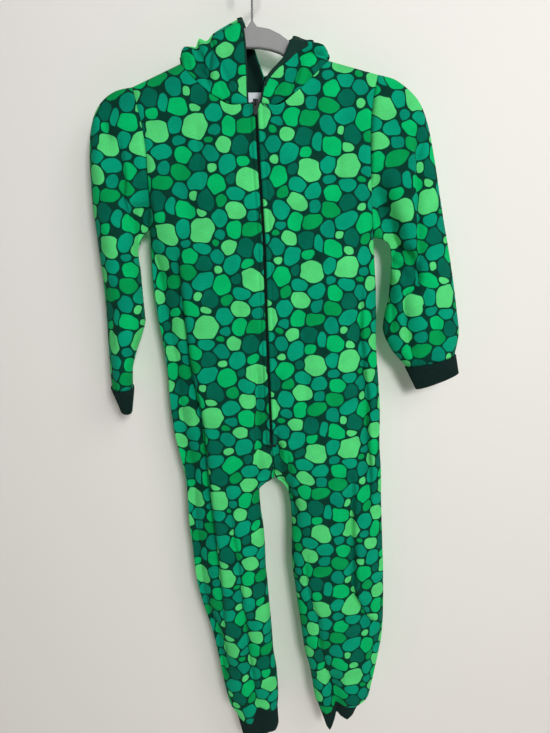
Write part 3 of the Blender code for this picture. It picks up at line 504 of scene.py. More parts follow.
def zip_edge(beside):
    """A front's turned edge beside the zip: a raised fold, and the groove of the stitches that hold it."""
    groove = 1.3 * np.exp(-(((beside - 6.8) / 1.1) ** 2))
    return groove - 0.9 * np.exp(-(((beside - 3) / 2.6) ** 4)) + 0.9 * np.exp(-((beside / 1.2) ** 2))


def body_rows(side, front):
    """Rows of one panel: inner x, z, outer x, z, half depth, depth at the armhole, joined."""
    xs, top, bottom = ARMHOLE[side]
    neck = (FRONT_NECK if front else BACK_NECK)[side]
    line = ZIP_LINE if front else BACK_LINE
    rows = []
    for k in range(9):
        angle = math.pi * k / 8
        z = top + (bottom - top) * (1 - math.cos(angle)) / 2
        if k < len(neck):
            inner = neck[k]
        else:
            height = CENTRE_ROWS[k - len(neck)]
            inner = (at(line, height), height)
        edge = ARMHOLE_DEPTH * math.sin(angle)
        rows.append((*inner, xs[k], z, YOKE_DEPTH[k] * (1 if front else 0.93), edge, 1.0))
    for z_in, z_out, right_out, right_in, left_in, left_out, depth, joined in BODY:
        x_in = (right_in if side < 0 else left_in) if joined == 0 else at(line, z_in)
        x_out = right_out if side < 0 else left_out
        rows.append((x_in, z_in, x_out, z_out, depth * (1 if front else 0.95), 0.0, joined))
    hem = HEM[side]
    rows.append((*hem[-1], *hem[0], HEM_DEPTH, 0.0, 0.0))
    return np.array(rows, float)


def panel_points(side, front, spacing):
    """One panel as a grid of points, from its inner edge to its outer one, row by row: their places
    on the garment's outside and on the flat cut."""
    coarse = body_rows(side, front)
    inner_steps = np.hypot(*np.diff(coarse[:, 0:2], axis=0).T)
    outer_steps = np.hypot(*np.diff(coarse[:, 2:4], axis=0).T)
    where = spread((inner_steps + outer_steps) / 2, spacing)
    x_in, z_in, x_out, z_out, depth, edge, joined = eased(coarse, where).T
    line = ZIP_LINE if front else BACK_LINE
    gap = np.where(front & (z_in > ZIP_END), ZIP_HALF + ZIP_FLARE[side] * np.clip((z_in + 181) / 10, 0, 1), SEAM / 2)
    centre = side * np.maximum(side * x_in, side * at(line, z_in) + gap)
    x_in = np.where(joined > 0, centre, x_in + side * SEAM / 2)
    round_armhole = where < 8
    turn = np.pi * where / 8
    xs, top, bottom = ARMHOLE[side]
    z_out = np.where(round_armhole, top + (bottom - top) * (1 - np.cos(turn)) / 2, z_out)
    edge = np.where(round_armhole, ARMHOLE_DEPTH * np.sin(turn), 0)
    even = np.linspace(0, 1, round(190 / spacing) + 1)
    share = 0.45 * even + 0.55 * (1 - np.cos(np.pi * even)) / 2
    x = x_in[:, None] + (x_out - x_in)[:, None] * share
    z = z_in[:, None] + (z_out - z_in)[:, None] * share
    into_hem = np.clip(where - (len(coarse) - 2), 0, 1)[:, None]
    z += into_hem * (at(HEM[side], x) - z)
    d, e, j = depth[:, None], edge[:, None], joined[:, None]
    body = e + (d - e) * (1 - share**2.6) ** (1 / 2.6)
    leg = d * (1 - abs(2 * share - 1) ** 2.3) ** (1 / 2.3)
    y = j * body + (1 - j) * leg
    wrapped = TURNED * side * (j * (d - body) + (1 - j) * (d - leg) * np.sign(2 * share - 1))
    deep, drawn_x, drawn_z = pressed_in(x, z, front)
    from_armhole = abs(x - x_out[:, None]) + 1000 * (where >= 8.6)[:, None]
    deep += puckers(z, from_armhole, 3.0)
    if front:
        beside_zip = np.maximum(abs(x - at(ZIP_LINE, z)) - ZIP_HALF, 0)
        calm = np.where(z > ZIP_END, 1 - np.exp(-((beside_zip / 9) ** 2)), 1)
        deep = deep * calm + (1 - calm) * 0.8 + zip_edge(beside_zip) * (z > ZIP_END)
    hold = np.minimum(1, np.maximum(0, (y - e) / 12) + 0.5 * (e > 0)) * np.minimum(1, y / 14)
    y = np.maximum(y - deep * hold, SEAM / 2)
    points = np.stack([x, -y if front else y, z], 2)
    spread_out = np.stack([x + drawn_x + wrapped, 0 * y, z + drawn_z], 2)
    across = ACROSS if front else -ACROSS
    return points, np.stack([spread_out @ across, -(spread_out @ DOWN)], 2)


def cloth(name, points, flat, wall, finishes, outward, keep=None, rim=0):
    """One piece of cloth: a grid of points in mm laid as a sheet, merged where it meets itself, and
    given its wall. flat holds each point's place on the cut. finishes: face and reverse."""
    rows, columns = points.shape[:2]
    work = bmesh.new()
    bmesh.ops.create_grid(work, x_segments=columns - 1, y_segments=rows - 1, size=1)
    layer = work.loops.layers.uv.new("cut")
    spots = {}
    for vert in work.verts:
        c = round((vert.co.x + 1) / 2 * (columns - 1))
        r = round((1 - vert.co.y) / 2 * (rows - 1))
        spots[vert] = (r, c)
        vert.co = points[r, c] * MM
    for face in work.faces:
        face.smooth = True
        for loop in face.loops:
            loop[layer].uv = flat[spots[loop.vert]] * MM
    if keep is not None:
        gone = [vert for vert, spot in spots.items() if not keep[spot]]
        bmesh.ops.delete(work, geom=gone, context="VERTS")
    if not outward:
        bmesh.ops.reverse_faces(work, faces=work.faces)
    bmesh.ops.remove_doubles(work, verts=work.verts, dist=0.02 * MM)
    mesh = bpy.data.meshes.new(name)
    work.to_mesh(mesh)
    work.free()
    piece = bpy.data.objects.new(name, mesh)
    bpy.context.scene.collection.objects.link(piece)
    for finish in finishes:
        mesh.materials.append(finish)
    thickness = piece.modifiers.new("wall", "SOLIDIFY")
    thickness.thickness = wall * MM
    thickness.offset = -1
    thickness.material_offset = 1
    thickness.material_offset_rim = rim
    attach(piece, "garment")
    return piece


def side_name(side):
    return "left" if side > 0 else "right"


PANEL_STARTS = {(-1, True): (0, 0), (1, True): (37, 61), (-1, False): (71, 18), (1, False): (12, 93)}

panels = {}
for side in (-1, 1):
    for front in (True, False):
        points, flat = panel_points(side, front, 2.5 if front else 3.6)
        panels[side, front] = points
        flat += PANEL_STARTS[side, front]
        node = ("front_" if front else "back_") + side_name(side)
        outward = (side > 0) == front
        panel = cloth(node + "_cloth", points, flat, FLEECE, (FLEECE_FACE, FLEECE_REVERSE), outward)
        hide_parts(node)

# --------------------------------------------------------------------------------------- sleeves
# One piece each, with the seam underneath, set into the armhole flat and gathered a little at the wrist.

SLEEVE = {
    -1: (
        # outer x, z, inner x, z, half depth
        (-189, -151, -159, -345, 23),
        (-210, -163, -165, -352, 26),
        (-226, -186, -170, -361, 29),
        (-234, -220, -173, -373, 31),
        (-236, -258, -173, -388, 33),
        (-236, -300, -172, -406, 34),
        (-233, -342, -171, -427, 35),
        (-230, -382, -170, -451, 36),
        (-227, -424, -169, -475, 37),
        (-226, -466, -175, -499, 37),
        (-226, -506, -184, -524, 37),
        (-226, -546, -191, -553, 36),
        (-225, -581, -192, -580, 34),
    ),
    +1: (
        (196, -136, 187, -354, 23),
        (216, -148, 195, -357, 25),
        (236, -168, 201, -362, 26),
        (250, -200, 204, -371, 27),
        (262, -246, 206, -386, 28),
        (272, -292, 206, -403, 28),
        (281, -332, 205, -421, 28),
        (291, -374, 204, -441, 28),
        (300, -416, 199, -464, 28),
        (308, -458, 197, -487, 28),
        (314, -496, 209, -517, 27),
        (310, -529, 236, -548, 24),
    ),
}
SLEEVE_SQUARE = 0.9  # below 1 the sleeve's section is fuller than an ellipse
SLEEVE_TURN = {-1: 0.26, 1: -0.12}  # how far its front is turned towards +X, as a share of its depth
SLEEVE_GRAIN = {-1: (-0.04, -0.999), 1: (0.20, -0.98)}
SLEEVE_STARTS = {-1: (55, 31), 1: (88, 77)}


def signed_power(values, power):
    return np.sign(values) * abs(values) ** power


def sleeve_points(side, spacing):
    """Sleeve as a grid of rings from the armhole to the wrist, each from its seam round the back, the
    outer side and the front: places on the garment's outside and on the flat cut."""
    xs, top, bottom = ARMHOLE[side]
    first = (xs[0] + side * SEAM, top, xs[8] + side * SEAM, bottom, ARMHOLE_DEPTH)
    coarse = np.array([first, *SLEEVE[side]], float)
    steps = np.hypot(*np.diff((coarse[:, 0:2] + coarse[:, 2:4]) / 2, axis=0).T)
    where = spread(np.maximum(steps, 12), spacing)
    x_out, z_out, x_in, z_in, depth = (column[:, None] for column in eased(coarse, where).T)
    turn = np.linspace(-np.pi, np.pi, round(460 / spacing) + 1)[None, :]
    power = 1 + (SLEEVE_SQUARE - 1) * np.clip(where, 0, 1)[:, None]
    share = (1 - signed_power(np.cos(turn), power)) / 2
    step = 8 * abs(turn[0]) / np.pi
    bow = eased(np.array(xs, float)[:, None], step)[:, 0] - (xs[0] + (xs[8] - xs[0]) * share[0])
    x = x_out + (x_in - x_out) * share + bow * np.clip(1 - where, 0, 1)[:, None]
    z = z_out + (z_in - z_out) * share
    y = depth * signed_power(np.sin(turn), power)
    x += SLEEVE_TURN[side] * y * np.clip(where / 3, 0, 1)[:, None]
    wrapped = side * TURNED * (depth - abs(y)) * np.sign(1 - 2 * share)
    ax, az = SLEEVE_GRAIN[side]
    here, outer = x * -az + z * ax + wrapped, x_out * -az + z_out * ax + side * TURNED * depth
    outer = np.where(where[:, None] < 5, outer[np.searchsorted(where, 5)], outer)
    u = np.where(y > 0, here, 2 * outer - here)
    v = -(x * ax + z * az)
    for front in (True, False):
        facing = y > 0 if front else y < 0
        deep, drawn_x, drawn_z = pressed_in(x, z, front)
        deep *= np.minimum(1, abs(y) / 14)
        down_sleeve = abs(x - xs[4] - side * SEAM) + 4 * where[:, None]
        deep += puckers(z, down_sleeve, 3.0) * np.minimum(1, abs(y) / 8)
        y = np.where(facing, np.maximum(y - deep, 0.2) if front else np.minimum(y + deep, -0.2), y)
        u += facing * (drawn_x * -az + drawn_z * ax) * (1 if front else -1) * np.minimum(1, abs(y) / 8)
        v -= facing * (drawn_x * ax + drawn_z * az) * np.minimum(1, abs(y) / 8)
    return np.stack([x, -y, z], 2), np.stack([u, v], 2)


sleeves = {}
for side in (-1, 1):
    points, flat = sleeve_points(side, 3.4)
    sleeves[side] = points
    flat += SLEEVE_STARTS[side]
    node = "sleeve_" + side_name(side)
    sleeve = cloth(node + "_cloth", points, flat, FLEECE, (FLEECE_FACE, FLEECE_REVERSE), side < 0)
    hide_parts(node)

# ----------------------------------------------------------------------------------------- cuffs
# Wrist and ankle bands in 1 x 1 rib, cotton with elastane, near-black green. Each is a ring of one
# layer, overlocked to the gathered end of its sleeve or leg.

KNIT = 1.8
RIB_PITCH = 2.8
RIB_HEIGHT = 0.35
CUFF_END = {
    -1: (-212, -617, -197, -619, 28),
    +1: (317, -559, 255, -584, 12),
}
CUFF_POINTED = 1.15
ANKLE_END = {
    -1: ((-26, -1234), (-8, -1240), (6, -1237), (12, -1222), (22, -1217), (33, -1216), (38, -1208)),
    +1: ((177, -1168), (170, -1181), (160, -1189), (148, -1184), (142, -1178), (137, -1194),
         (130, -1213), (124, -1206), (116, -1182)),
}
WRIST_CUFF_CUT = (0.16, 0.055)
ANKLE_CUFF_CUT = {-1: (0.19, 0.07), 1: (0.17, 0.045)}
RIB_KNIT = plain_knit("cotton_rib", "0A2622", 0.7)


def ribbed(ring_rows):
    """Rings of a cuff with its ribs raised, spaced round each ring by arc length."""
    count = 4 * round(np.linalg.norm(np.diff(ring_rows[0], axis=0), axis=1).sum() / RIB_PITCH) + 1
    rows = []
    for ring in ring_rows:
        arc = np.concatenate([[0], np.cumsum(np.linalg.norm(np.diff(ring, axis=0), axis=1))])
        even = np.linspace(0, arc[-1], count)
        spots = np.stack([np.interp(even, arc, ring[:, k]) for k in range(3)], 1)
        ahead = np.roll(spots[:-1], -1, 0) - np.roll(spots[:-1], 1, 0)
        out = np.stack([ahead[:, 1], -ahead[:, 0], np.zeros(count - 1)], 1)
        out /= np.linalg.norm(out, axis=1)[:, None]
        centre = spots[:-1].mean(0)
        if ((spots[:-1] - centre) * out).sum() < 0:
            out = -out
        rise = RIB_HEIGHT * np.cos(np.linspace(0, 2 * np.pi * (count - 1) / 4, count)[:-1])
        spots[:-1] += out * rise[:, None]
        spots[-1] = spots[0]
        rows.append(spots)
    return np.array(rows)


def cuff(node, ring_rows, cut, outward):
    points = ribbed(ring_rows)
    flat = np.zeros((*points.shape[:2], 2))
    flat[:, :, 0] = np.linspace(0, cut[0] / MM, points.shape[1])[None, :]
    flat[:, :, 1] = np.linspace(cut[1] / MM, 0, points.shape[0])[:, None]
    band = cloth(node + "_knit", points, flat, KNIT, (RIB_KNIT, RIB_KNIT), outward)
    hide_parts(node)


for side in (-1, 1):
    last = sleeves[side][-1]
    x_out, z_out, x_in, z_in, depth = CUFF_END[side]
    turn = np.linspace(-np.pi, np.pi, len(last))
    share = (1 - signed_power(np.cos(turn), SLEEVE_SQUARE)) / 2
    y = depth * signed_power(np.sin(turn), CUFF_POINTED)
    end = np.stack([x_out + (x_in - x_out) * share + SLEEVE_TURN[side] * y, -y,
                    z_out + (z_in - z_out) * share], 1)
    wx, wz = SLEEVE[side][-1][0] - SLEEVE[side][-1][2], SLEEVE[side][-1][1] - SLEEVE[side][-1][3]
    away = np.array((-wz, 0, wx)) / math.hypot(wx, wz)
    away *= -np.sign(away[2])
    start = last + away * SEAM
    rows = []
    for t in np.linspace(0, 1, 13):
        snug = 1 - 0.05 * math.sin(math.pi * t)
        rows.append((start + (end - start) * (0.25 * min(1, t * 8) + 0.75 * t)) * (1, snug, 1))
    cuff("cuff_" + side_name(side), rows, WRIST_CUFF_CUT, side > 0)

    front, back = panels[side, True][-1], panels[side, False][-1]
    loop = np.vstack([front[::-1], back[1:-1], front[-1:]])
    top = loop - (0, 0, 1.8 * SEAM)
    end_table = ANKLE_END[side]
    share = (top[:, 0] - HEM[side][0][0]) / (HEM[side][-1][0] - HEM[side][0][0])
    end_x = end_table[0][0] + (end_table[-1][0] - end_table[0][0]) * share
    end = np.stack([end_x, top[:, 1] * 0.88, at(end_table, end_x)], 1)
    rows = [top + (end - top) * t for t in np.linspace(0, 1, 13)]
    cuff("ankle_cuff_" + side_name(side), rows, ANKLE_CUFF_CUT[side], side < 0)

# ------------------------------------------------------------------------------------------ hood
# Two halves of printed fleece with a seam over the head, lined with dark jersey. The hood hangs empty:
# its front edge stands open at the neck and its back falls behind the hanger as a flat double pouch.

HOOD_WALL = 1.5
LINING = 1.0
# Columns from the shoulder to the front edge. seam: x on the neckline. top_x, top_z: upper outline.
# bulge: how far the front stands out. bottom: lowest point of the pouch at the back.
HOOD_FRONT = {
    -1: (
        # seam, low_x, top_x, top_z, bulge, bottom
        (-92, -95, -98, -104, 8, -134),
        (-86, -89, -92, -97, 12, -160),
        (-79, -81, -84, -97, 14, -186),
        (-72, -75, -78, -98, 11, -204),
        (-64, -69, -72, -87, 13, -220),
        (-56, -61, -63, -90, 15, -233),
        (-45, -50, -53, -81, 17, -243),
        (-31, -36, -38, -72.5, 18, -251),
        (-17, -23, -25, -66, 19, -256),
        (-5, -10, -13.5, -61.5, 19, -259),
    ),
    +1: (
        (98, 101, 106, -110, 8, -134),
        (92, 98, 103, -101, 12, -160),
        (84, 92, 96, -95, 14, -186),
        (74, 84, 88, -93, 15, -204),
        (63, 74, 78, -91, 16, -222),
        (48, 63, 69, -88.5, 16, -236),
        (30, 51, 60, -85.5, 17, -246),
        (12, 36, 52, -84, 17, -252),
    ),
}
# Columns behind the neck, from the hanger to the centre back seam: x, z of the free edge, its y, bottom.
HOOD_BACK = {
    -1: ((-7, -72, 13, -259), (2, -92, 15, -260), (9, -110, 17, -260), (16, -128, 19, -260)),
    +1: ((48.5, -86, 13, -253), (44, -104, 15, -255), (36, -116, 17, -258), (28, -123, 18, -260),
         (16, -128, 19, -260)),
}
HOOD_RISE = (0.0, 0.34, 0.68, 0.90)  # heights of the front rows between seam and top
# How far the last columns swing towards +X in the rows above the seam.
HOOD_SWING = {-1: {}, 1: {5: (0, 5, 2, 1, 0), 6: (0, 9, 4.5, 3.5, 2), 7: (-1, 16, 8.5, 7, 5)}}
# Rows behind the hanger: share of the way from the top to the bottom of the pouch, y.
POUCH = ((0.05, 14), (0.2, 32), (0.45, 40), (0.72, 46), (0.93, 45), (1.0, 39), (0.9, 33), (0.55, 31))
TOP_ROW = 5
HOOD_CREASES = (
    (((-77, -95), (-76, -109), (-73, -126), (-64, -139), (-57, -162)), 7, 3, 6, 6),
    (((-72, -106), (-66, -126)), 4, 3, 3, 3),
    (((-59, -88), (-54, -97), (-58, -112), (-62, -142)), 6.5, 5, 3, 6),
    (((-43, -118), (-40, -130), (-29, -152)), 4, 3, 4, 5),
    (((-105, -118), (-88, -139), (-76, -155)), 4, 4, 4, 4),
    (((-96, -110), (-90, -138)), 5, 3, 4, 5),
    (((-30, -150), (-22, -172)), 2, 4, 4, 2),
    (((-48, -140), (-36, -166)), 2.4, 4, 4, 3),
    (((56, -119), (61.5, -114), (72, -110), (83, -107.5), (93, -109), (105, -114)), 7, 6, 2, 6),
    (((64, -101), (76, -97), (90, -98), (102, -104)), -3, 5, 6, 0),
    (((68, -116), (61.6, -137), (52, -158)), 6, 5, 3, 7),
    (((83, -121), (70, -149), (50, -170)), 5, 3, 5, 6),
    (((48, -138), (27, -164)), 3, 5, 4, 4),
    (((92, -114), (90, -134)), 3, 4, 4, 3),
    (((36, -150), (20, -172)), 2, 4, 3, 3),
)
# Width of the dark jersey facing turned out along the front edge: z, width.
FACING = {
    -1: ((-176, 3), (-90, 3), (-75, 4), (-62, 7)),
    +1: ((-176, 3), (-150, 6), (-126, 6), (-112, 15), (-104, 20), (-96, 27), (-80, 26)),
}
HOOD_JERSEY = plain_knit("dark_jersey", "10332B", 0.9)


def hood_columns(side):
    """Control points of the hood's outside: rows from the front seam over the hanger to the back seam."""
    columns = []
    neck = np.array(FRONT_NECK[side], float)
    depths = [(neck[k, 0], YOKE_DEPTH[k]) for k in range(6)]
    for number, (seam, low_x, top_x, top_z, bulge, bottom) in enumerate(HOOD_FRONT[side]):
        swing = HOOD_SWING[side].get(number, (0, 0, 0, 0, 0))
        z0 = at(neck, seam) + SEAM * 1.2
        y0 = -at(depths, seam)
        column = [(seam, y0, z0)]
        for i, rise in enumerate(HOOD_RISE[1:]):
            x = seam + (low_x - seam) * rise if i < 2 else low_x + (top_x - low_x) * 0.5
            column.append((x + swing[i], y0 + (-bulge - y0) * rise, z0 + (top_z - z0) * rise))
        valley = -max(7.5, bulge * 0.62)
        column.append((low_x + (top_x - low_x) * 0.8 + swing[3], valley, z0 + (top_z - z0) * 0.955))
        column.append((top_x + swing[4], -1.5, top_z))
        columns.append(column + pouch(side, top_x, top_z, bottom))
    for x, z, y, bottom in HOOD_BACK[side]:
        down = pouch(side, x, z, bottom, y + 4)
        above = [(2 * x - down[0][0], 2 * y - down[0][1], 2 * z - down[0][2])] * TOP_ROW
        columns.append(above + [(x, y, z)] + down)
    return np.array(columns, float).transpose(1, 0, 2)


def pouch(side, x, z, bottom, least=0.0):
    """One column behind the hanger: down the outside, round the bottom and up to the back neckline."""
    rows = []
    span = z - bottom
    small = min(1.0, span / 120)
    for share, y in POUCH:
        depth = 9.5 + (y - 9.5) * small if y > 14 else 10 + (y - 10) * small
        rows.append([x, max(depth, least), z - span * share])
    neck = BACK_NECK[side]
    seam_x = np.clip(x, neck[-1][0], neck[1][0]) if side > 0 else np.clip(x, neck[1][0], neck[-1][0])
    seam_z = at(neck, seam_x) + SEAM * 1.2
    seam_y = at([(neck[k][0], YOKE_DEPTH[k] * 0.93) for k in range(6)], seam_x)
    if span < 60:
        for i, row in enumerate(rows):
            t = (i + 1) / (len(rows) + 1)
            row[:] = (x + (seam_x - x) * t, 9 + (seam_y - 9) * t + 3 * math.sin(math.pi * t),
                      z + (seam_z - z) * t)
    rows.append([seam_x, seam_y, seam_z])
    return [tuple(row) for row in rows]


def hood_grid(side, per_row, per_column):
    """Fine grid of the hood's outside, and the places of its rows and columns in the control points."""
    control = hood_columns(side)
    rows, count = control.shape[:2]
    shoulder_x, shoulder_z = FRONT_NECK[side][0]
    around = np.sin(np.pi * np.arange(rows) / (rows - 1))
    end = np.stack([np.full(rows, shoulder_x + side * 0.4), np.zeros(rows), shoulder_z + 0.5 + 7 * around], 1)
    control = np.concatenate([end[:, None], control], 1)
    down = np.linspace(0, rows - 1, (rows - 1) * per_row + 1)
    over = np.linspace(0, count, count * per_column + 1)
    fine = eased(control.reshape(rows, -1), down).reshape(len(down), count + 1, 3)
    fine = eased(fine.transpose(1, 0, 2).reshape(count + 1, -1), over)
    fine = fine.reshape(len(over), len(down), 3).transpose(1, 0, 2)
    return fine, down, over - 1


def outward_normals(points, side):
    """Unit vectors out of a grid of points."""
    out = np.cross(np.gradient(points, axis=1), np.gradient(points, axis=0)) * -side
    return out / np.maximum(np.linalg.norm(out, axis=2), 1e-9)[:, :, None]


def facing_strip(side, points, out, edge_column, last_row):
    """Grid of a strip that lies on the hood along its front edge, from just past the edge inwards."""
    rows = []
    for r in range(last_row):
        inward = points[r, edge_column::-1]
        lengths = np.linalg.norm(np.diff(inward, axis=0), axis=1)
        arc = np.concatenate([[0], np.cumsum(lengths)])
        width = at(FACING[side], inward[0, 2]) * (1 + 0.1 * math.sin(r * 0.7))
        steps = np.linspace(0, 1, 12)
        line = np.stack([np.interp(steps * width, arc, inward[:, k]) for k in range(3)], 1)
        line += out[r, edge_column] * (0.4 + 0.9 * np.minimum(1, steps * 4) + 0.9 * steps**4)[:, None]
        past = (inward[0] - inward[2]) / np.linalg.norm(inward[0] - inward[2])
        first = inward[0] + past * 0.9 - out[r, edge_column] * 2.2
        rows.append(np.vstack([first, inward[0] + past * 1.1 - out[r, edge_column] * 0.6, line]))
    return np.array(rows)


for side in (-1, 1):
    points, down, over = hood_grid(side, 8, 6)
    edge = len(HOOD_FRONT[side]) - 1
    keep = (down[:, None] >= TOP_ROW - 0.01) | (over[None, :] <= edge + 0.01)
    out = outward_normals(points, side)
    if (out[: 3 * 8, : edge * 6, 1]).mean() > 0:
        out = -out
    x, z = points[:, :, 0], points[:, :, 2]
    steps = np.linalg.norm(np.diff(points[:, :, 1:], axis=0), axis=2)
    v = z[:1] + np.pad(np.cumsum(steps, axis=0), ((1, 0), (0, 0)))
    down_back = (v + z)[TOP_ROW * 8, : (edge + 1) * 6].mean() - z  # behind, the print runs on straight down
    row = np.minimum(np.arange(len(down)), 11 * 8)
    begun = np.maximum(np.clip((down - TOP_ROW) / 1.5, 0, 1)[:, None], (over > edge)[None, :])
    v = v + (down_back - v)[row] * begun
    before = np.clip((4.6 - down) / 1.2, 0, 1)[:, None]
    deep, drawn_x, drawn_z = (sum(parts) for parts in zip(*(crease(x, z, *fold) for fold in HOOD_CREASES)))
    behind = np.clip((down - 5.5) / 1.5, 0, 1)[:, None] * np.clip((14 - down) / 1.5, 0, 1)[:, None]
    held = np.minimum(1, down / 0.6)[:, None] * np.clip(over / 1.5, 0, 1)[None, :]
    deep = (deep - 0.8 * waves(x, z, 14, 34, 5.5)) * before * held + 1.1 * waves(x, z, 21, 60, 11.5) * behind
    points = points - out * deep[:, :, None]
    in_front = (down[:, None] < 4.9) & (over[None, :] > 0)
    points[:, :, 1] = np.where(in_front, np.minimum(points[:, :, 1], -6.6), points[:, :, 1])
    flat = np.stack([x + drawn_x * before + 23 + 40 * side, v + drawn_z * before + 20], 2)
    node = "hood_" + side_name(side)
    hood = cloth(node + "_cloth", points, flat, HOOD_WALL, (FLEECE_FACE, HOOD_JERSEY), side > 0, keep)
    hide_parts(node)

    inside = points - out * (HOOD_WALL + 0.9)
    lined = keep & ((down >= 0.9) & (down <= 10))[:, None] & (over >= 0.9)[None, :]
    node = "hood_lining_" + side_name(side)
    lining = cloth(node + "_jersey", inside, flat, LINING, (HOOD_JERSEY, HOOD_JERSEY), side > 0, lined)
    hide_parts(node)

    strip = facing_strip(side, points, out, (edge + 1) * 6, TOP_ROW * 8 + 4)
    flat = np.zeros((*strip.shape[:2], 2))
    finishes = (HOOD_JERSEY, HOOD_JERSEY)
    facing = cloth("hood_facing_" + side_name(side), strip, flat, 0.8, finishes, side < 0)

# ------------------------------------------------------------------------------------ neck label
# Blank woven tape, folded under at its edges and stitched into the back neck seam.

LABEL = ((-12, -149.5), (20, -149.0), (19, -173), (-11, -173.5))
LABEL_FRONT, LABEL_BACK = 18.3, 19.1


def label_tape():
    """Woven polyester satin: fine weft ribs with a slight shine."""
    material, tree, shader = new_material("woven_label_tape")
    place = add(tree, "TexCoord", {}, out=3)
    threads = add(tree, "TexWave", {0: place, "Scale": 190.0, "Distortion": 0.6}, bands_direction="Z")
    shade = add(tree, "Mix", {0: threads, 6: linear("D4DEE9"), 7: linear("F2F6FA")}, out=2, data_type="RGBA")
    tree.links.new(shade, shader["Base Color"])
    bump = {"Strength": 0.3, "Distance": 0.15 * MM, "Height": threads}
    tree.links.new(add(tree, "Bump", bump), shader["Normal"])
    shader["Roughness"].default_value = 0.55
    return material


across = np.linspace(0, 1, 17)[None, :]
down = np.linspace(0, 1, 13)[:, None]
corners = np.array(LABEL, float)
top = corners[0] + (corners[1] - corners[0]) * across[0][:, None]
low = corners[3] + (corners[2] - corners[3]) * across[0][:, None]
spots = top[None] + (low - top)[None] * down[:, :, None]
bend = LABEL_FRONT + 0.0 * across * down
points = np.stack([spots[:, :, 0], bend + 0 * spots[:, :, 0], spots[:, :, 1]], 2)
flat = np.stack([32 * across + 0 * down, 24 * (1 - down) + 0 * across], 2)
tape = label_tape()
label = cloth("neck_label_tape", points, flat, LABEL_BACK - LABEL_FRONT, (tape, tape), True)
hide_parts("neck_label")

# ------------------------------------------------------------------------------------------- zip
# A nylon coil zip: woven tape behind the fronts, two rows of coil turns that mesh between them, and a
# painted zinc slider with its pull tab hanging from a bridge.

COIL_PITCH = 1.7
COIL_TOP, COIL_FOOT = -180, ZIP_END + 2


def zip_depth(x, z):
    """Half thickness of the body on the zip line, where the fronts lie calm."""
    rows = body_rows(1, True)[5:22]
    return np.interp(-np.asarray(z, float), -rows[:, 1], rows[:, 4]) - 0.8


def coated_metal():
    """Zinc casting under thin dark paint: hard, slightly glossy, a little uneven in patches."""
    material, tree, shader = new_material("painted_zinc")
    place = add(tree, "TexCoord", {}, out=3)
    patches = add(tree, "TexNoise", {0: place, "Scale": 900.0, "Detail": 3.0})
    shade = add(tree, "Mix", {0: patches, 6: linear("070D0B"), 7: linear("18211F")}, out=2, data_type="RGBA")
    tree.links.new(shade, shader["Base Color"])
    rough = add(tree, "MapRange", {0: patches, 1: 0.3, 2: 0.7, 3: 0.28, 4: 0.5})
    tree.links.new(rough, shader["Roughness"])
    shader["Metallic"].default_value = 0.6
    return material


ZIP_TAPE = plain_knit("woven_zip_tape", "0B2A22", 0.8)
COIL = plain_knit("nylon_coil", "071A15", 0.6)
ZINC = coated_metal()

heights = np.linspace(-179, ZIP_END - 3, 150)
offsets = np.linspace(-7, 7, 9)
z = heights[:, None] + 0 * offsets
x = at(ZIP_LINE, z) + offsets
points = np.stack([x, -(zip_depth(x, z) - FLEECE - 0.9), z], 2)
flat = np.stack([offsets + 0 * z, z + 690], 2)
tape = cloth("zip_tape_weave", points, flat, 0.8, (ZIP_TAPE, ZIP_TAPE), True)
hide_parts("zip_tape")


def coil_rows():
    """Two rows of coil turns, each a short rounded bar, with their heads meshed on the centre line."""
    work = bmesh.new()
    count = int((COIL_TOP - COIL_FOOT) / COIL_PITCH)
    for k in range(count):
        for side in (-1, 1):
            z = COIL_TOP - (k + 0.25 * side) * COIL_PITCH
            centre = at(ZIP_LINE, z)
            y = -float(zip_depth(centre, z)) + 0.9
            made = bmesh.ops.create_cone(work, cap_ends=True, segments=6, radius1=0.42, radius2=0.42, depth=2.0)
            for vert in made["verts"]:
                along, height, out = vert.co.z, vert.co.x, vert.co.y
                vert.co = ((centre + side * 0.75 + along) * MM, (y + out) * MM, (z + height) * MM)
    mesh = bpy.data.meshes.new("zip_coil")
    bmesh.ops.recalc_face_normals(work, faces=work.faces)
    work.to_mesh(mesh)
    work.free()
    mesh.materials.append(COIL)
    coil = bpy.data.objects.new("zip_coil", mesh)
    bpy.context.scene.collection.objects.link(coil)
    return coil


coil = coil_rows()
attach(coil, "garment")
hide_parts("zip_chain")

for node in ("zip_slider", "zip_pull"):
    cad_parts[node].data.materials.clear()
    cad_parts[node].data.materials.append(ZINC)

# ---------------------------------------------------------------------------------------- hanger
# One moulding of grey polypropylene with a matt, faintly grained skin, and a bent steel wire hook.


def moulded_plastic():
    """Polypropylene from a sand-blasted mould: even grey, satin, with a fine grain."""
    material, tree, shader = new_material("moulded_polypropylene")
    place = add(tree, "TexCoord", {}, out=3)
    grain = add(tree, "TexNoise", {0: place, "Scale": 1400.0, "Detail": 2.0})
    cloudy = add(tree, "TexNoise", {0: place, "Scale": 45.0, "Detail": 2.0})
    shade = add(tree, "Mix", {0: cloudy, 6: linear("868686"), 7: linear("979797")}, out=2, data_type="RGBA")
    tree.links.new(shade, shader["Base Color"])
    bump = {"Strength": 0.25, "Distance": 0.1 * MM, "Height": grain}
    tree.links.new(add(tree, "Bump", bump), shader["Normal"])
    shader["Roughness"].default_value = 0.52
    return material


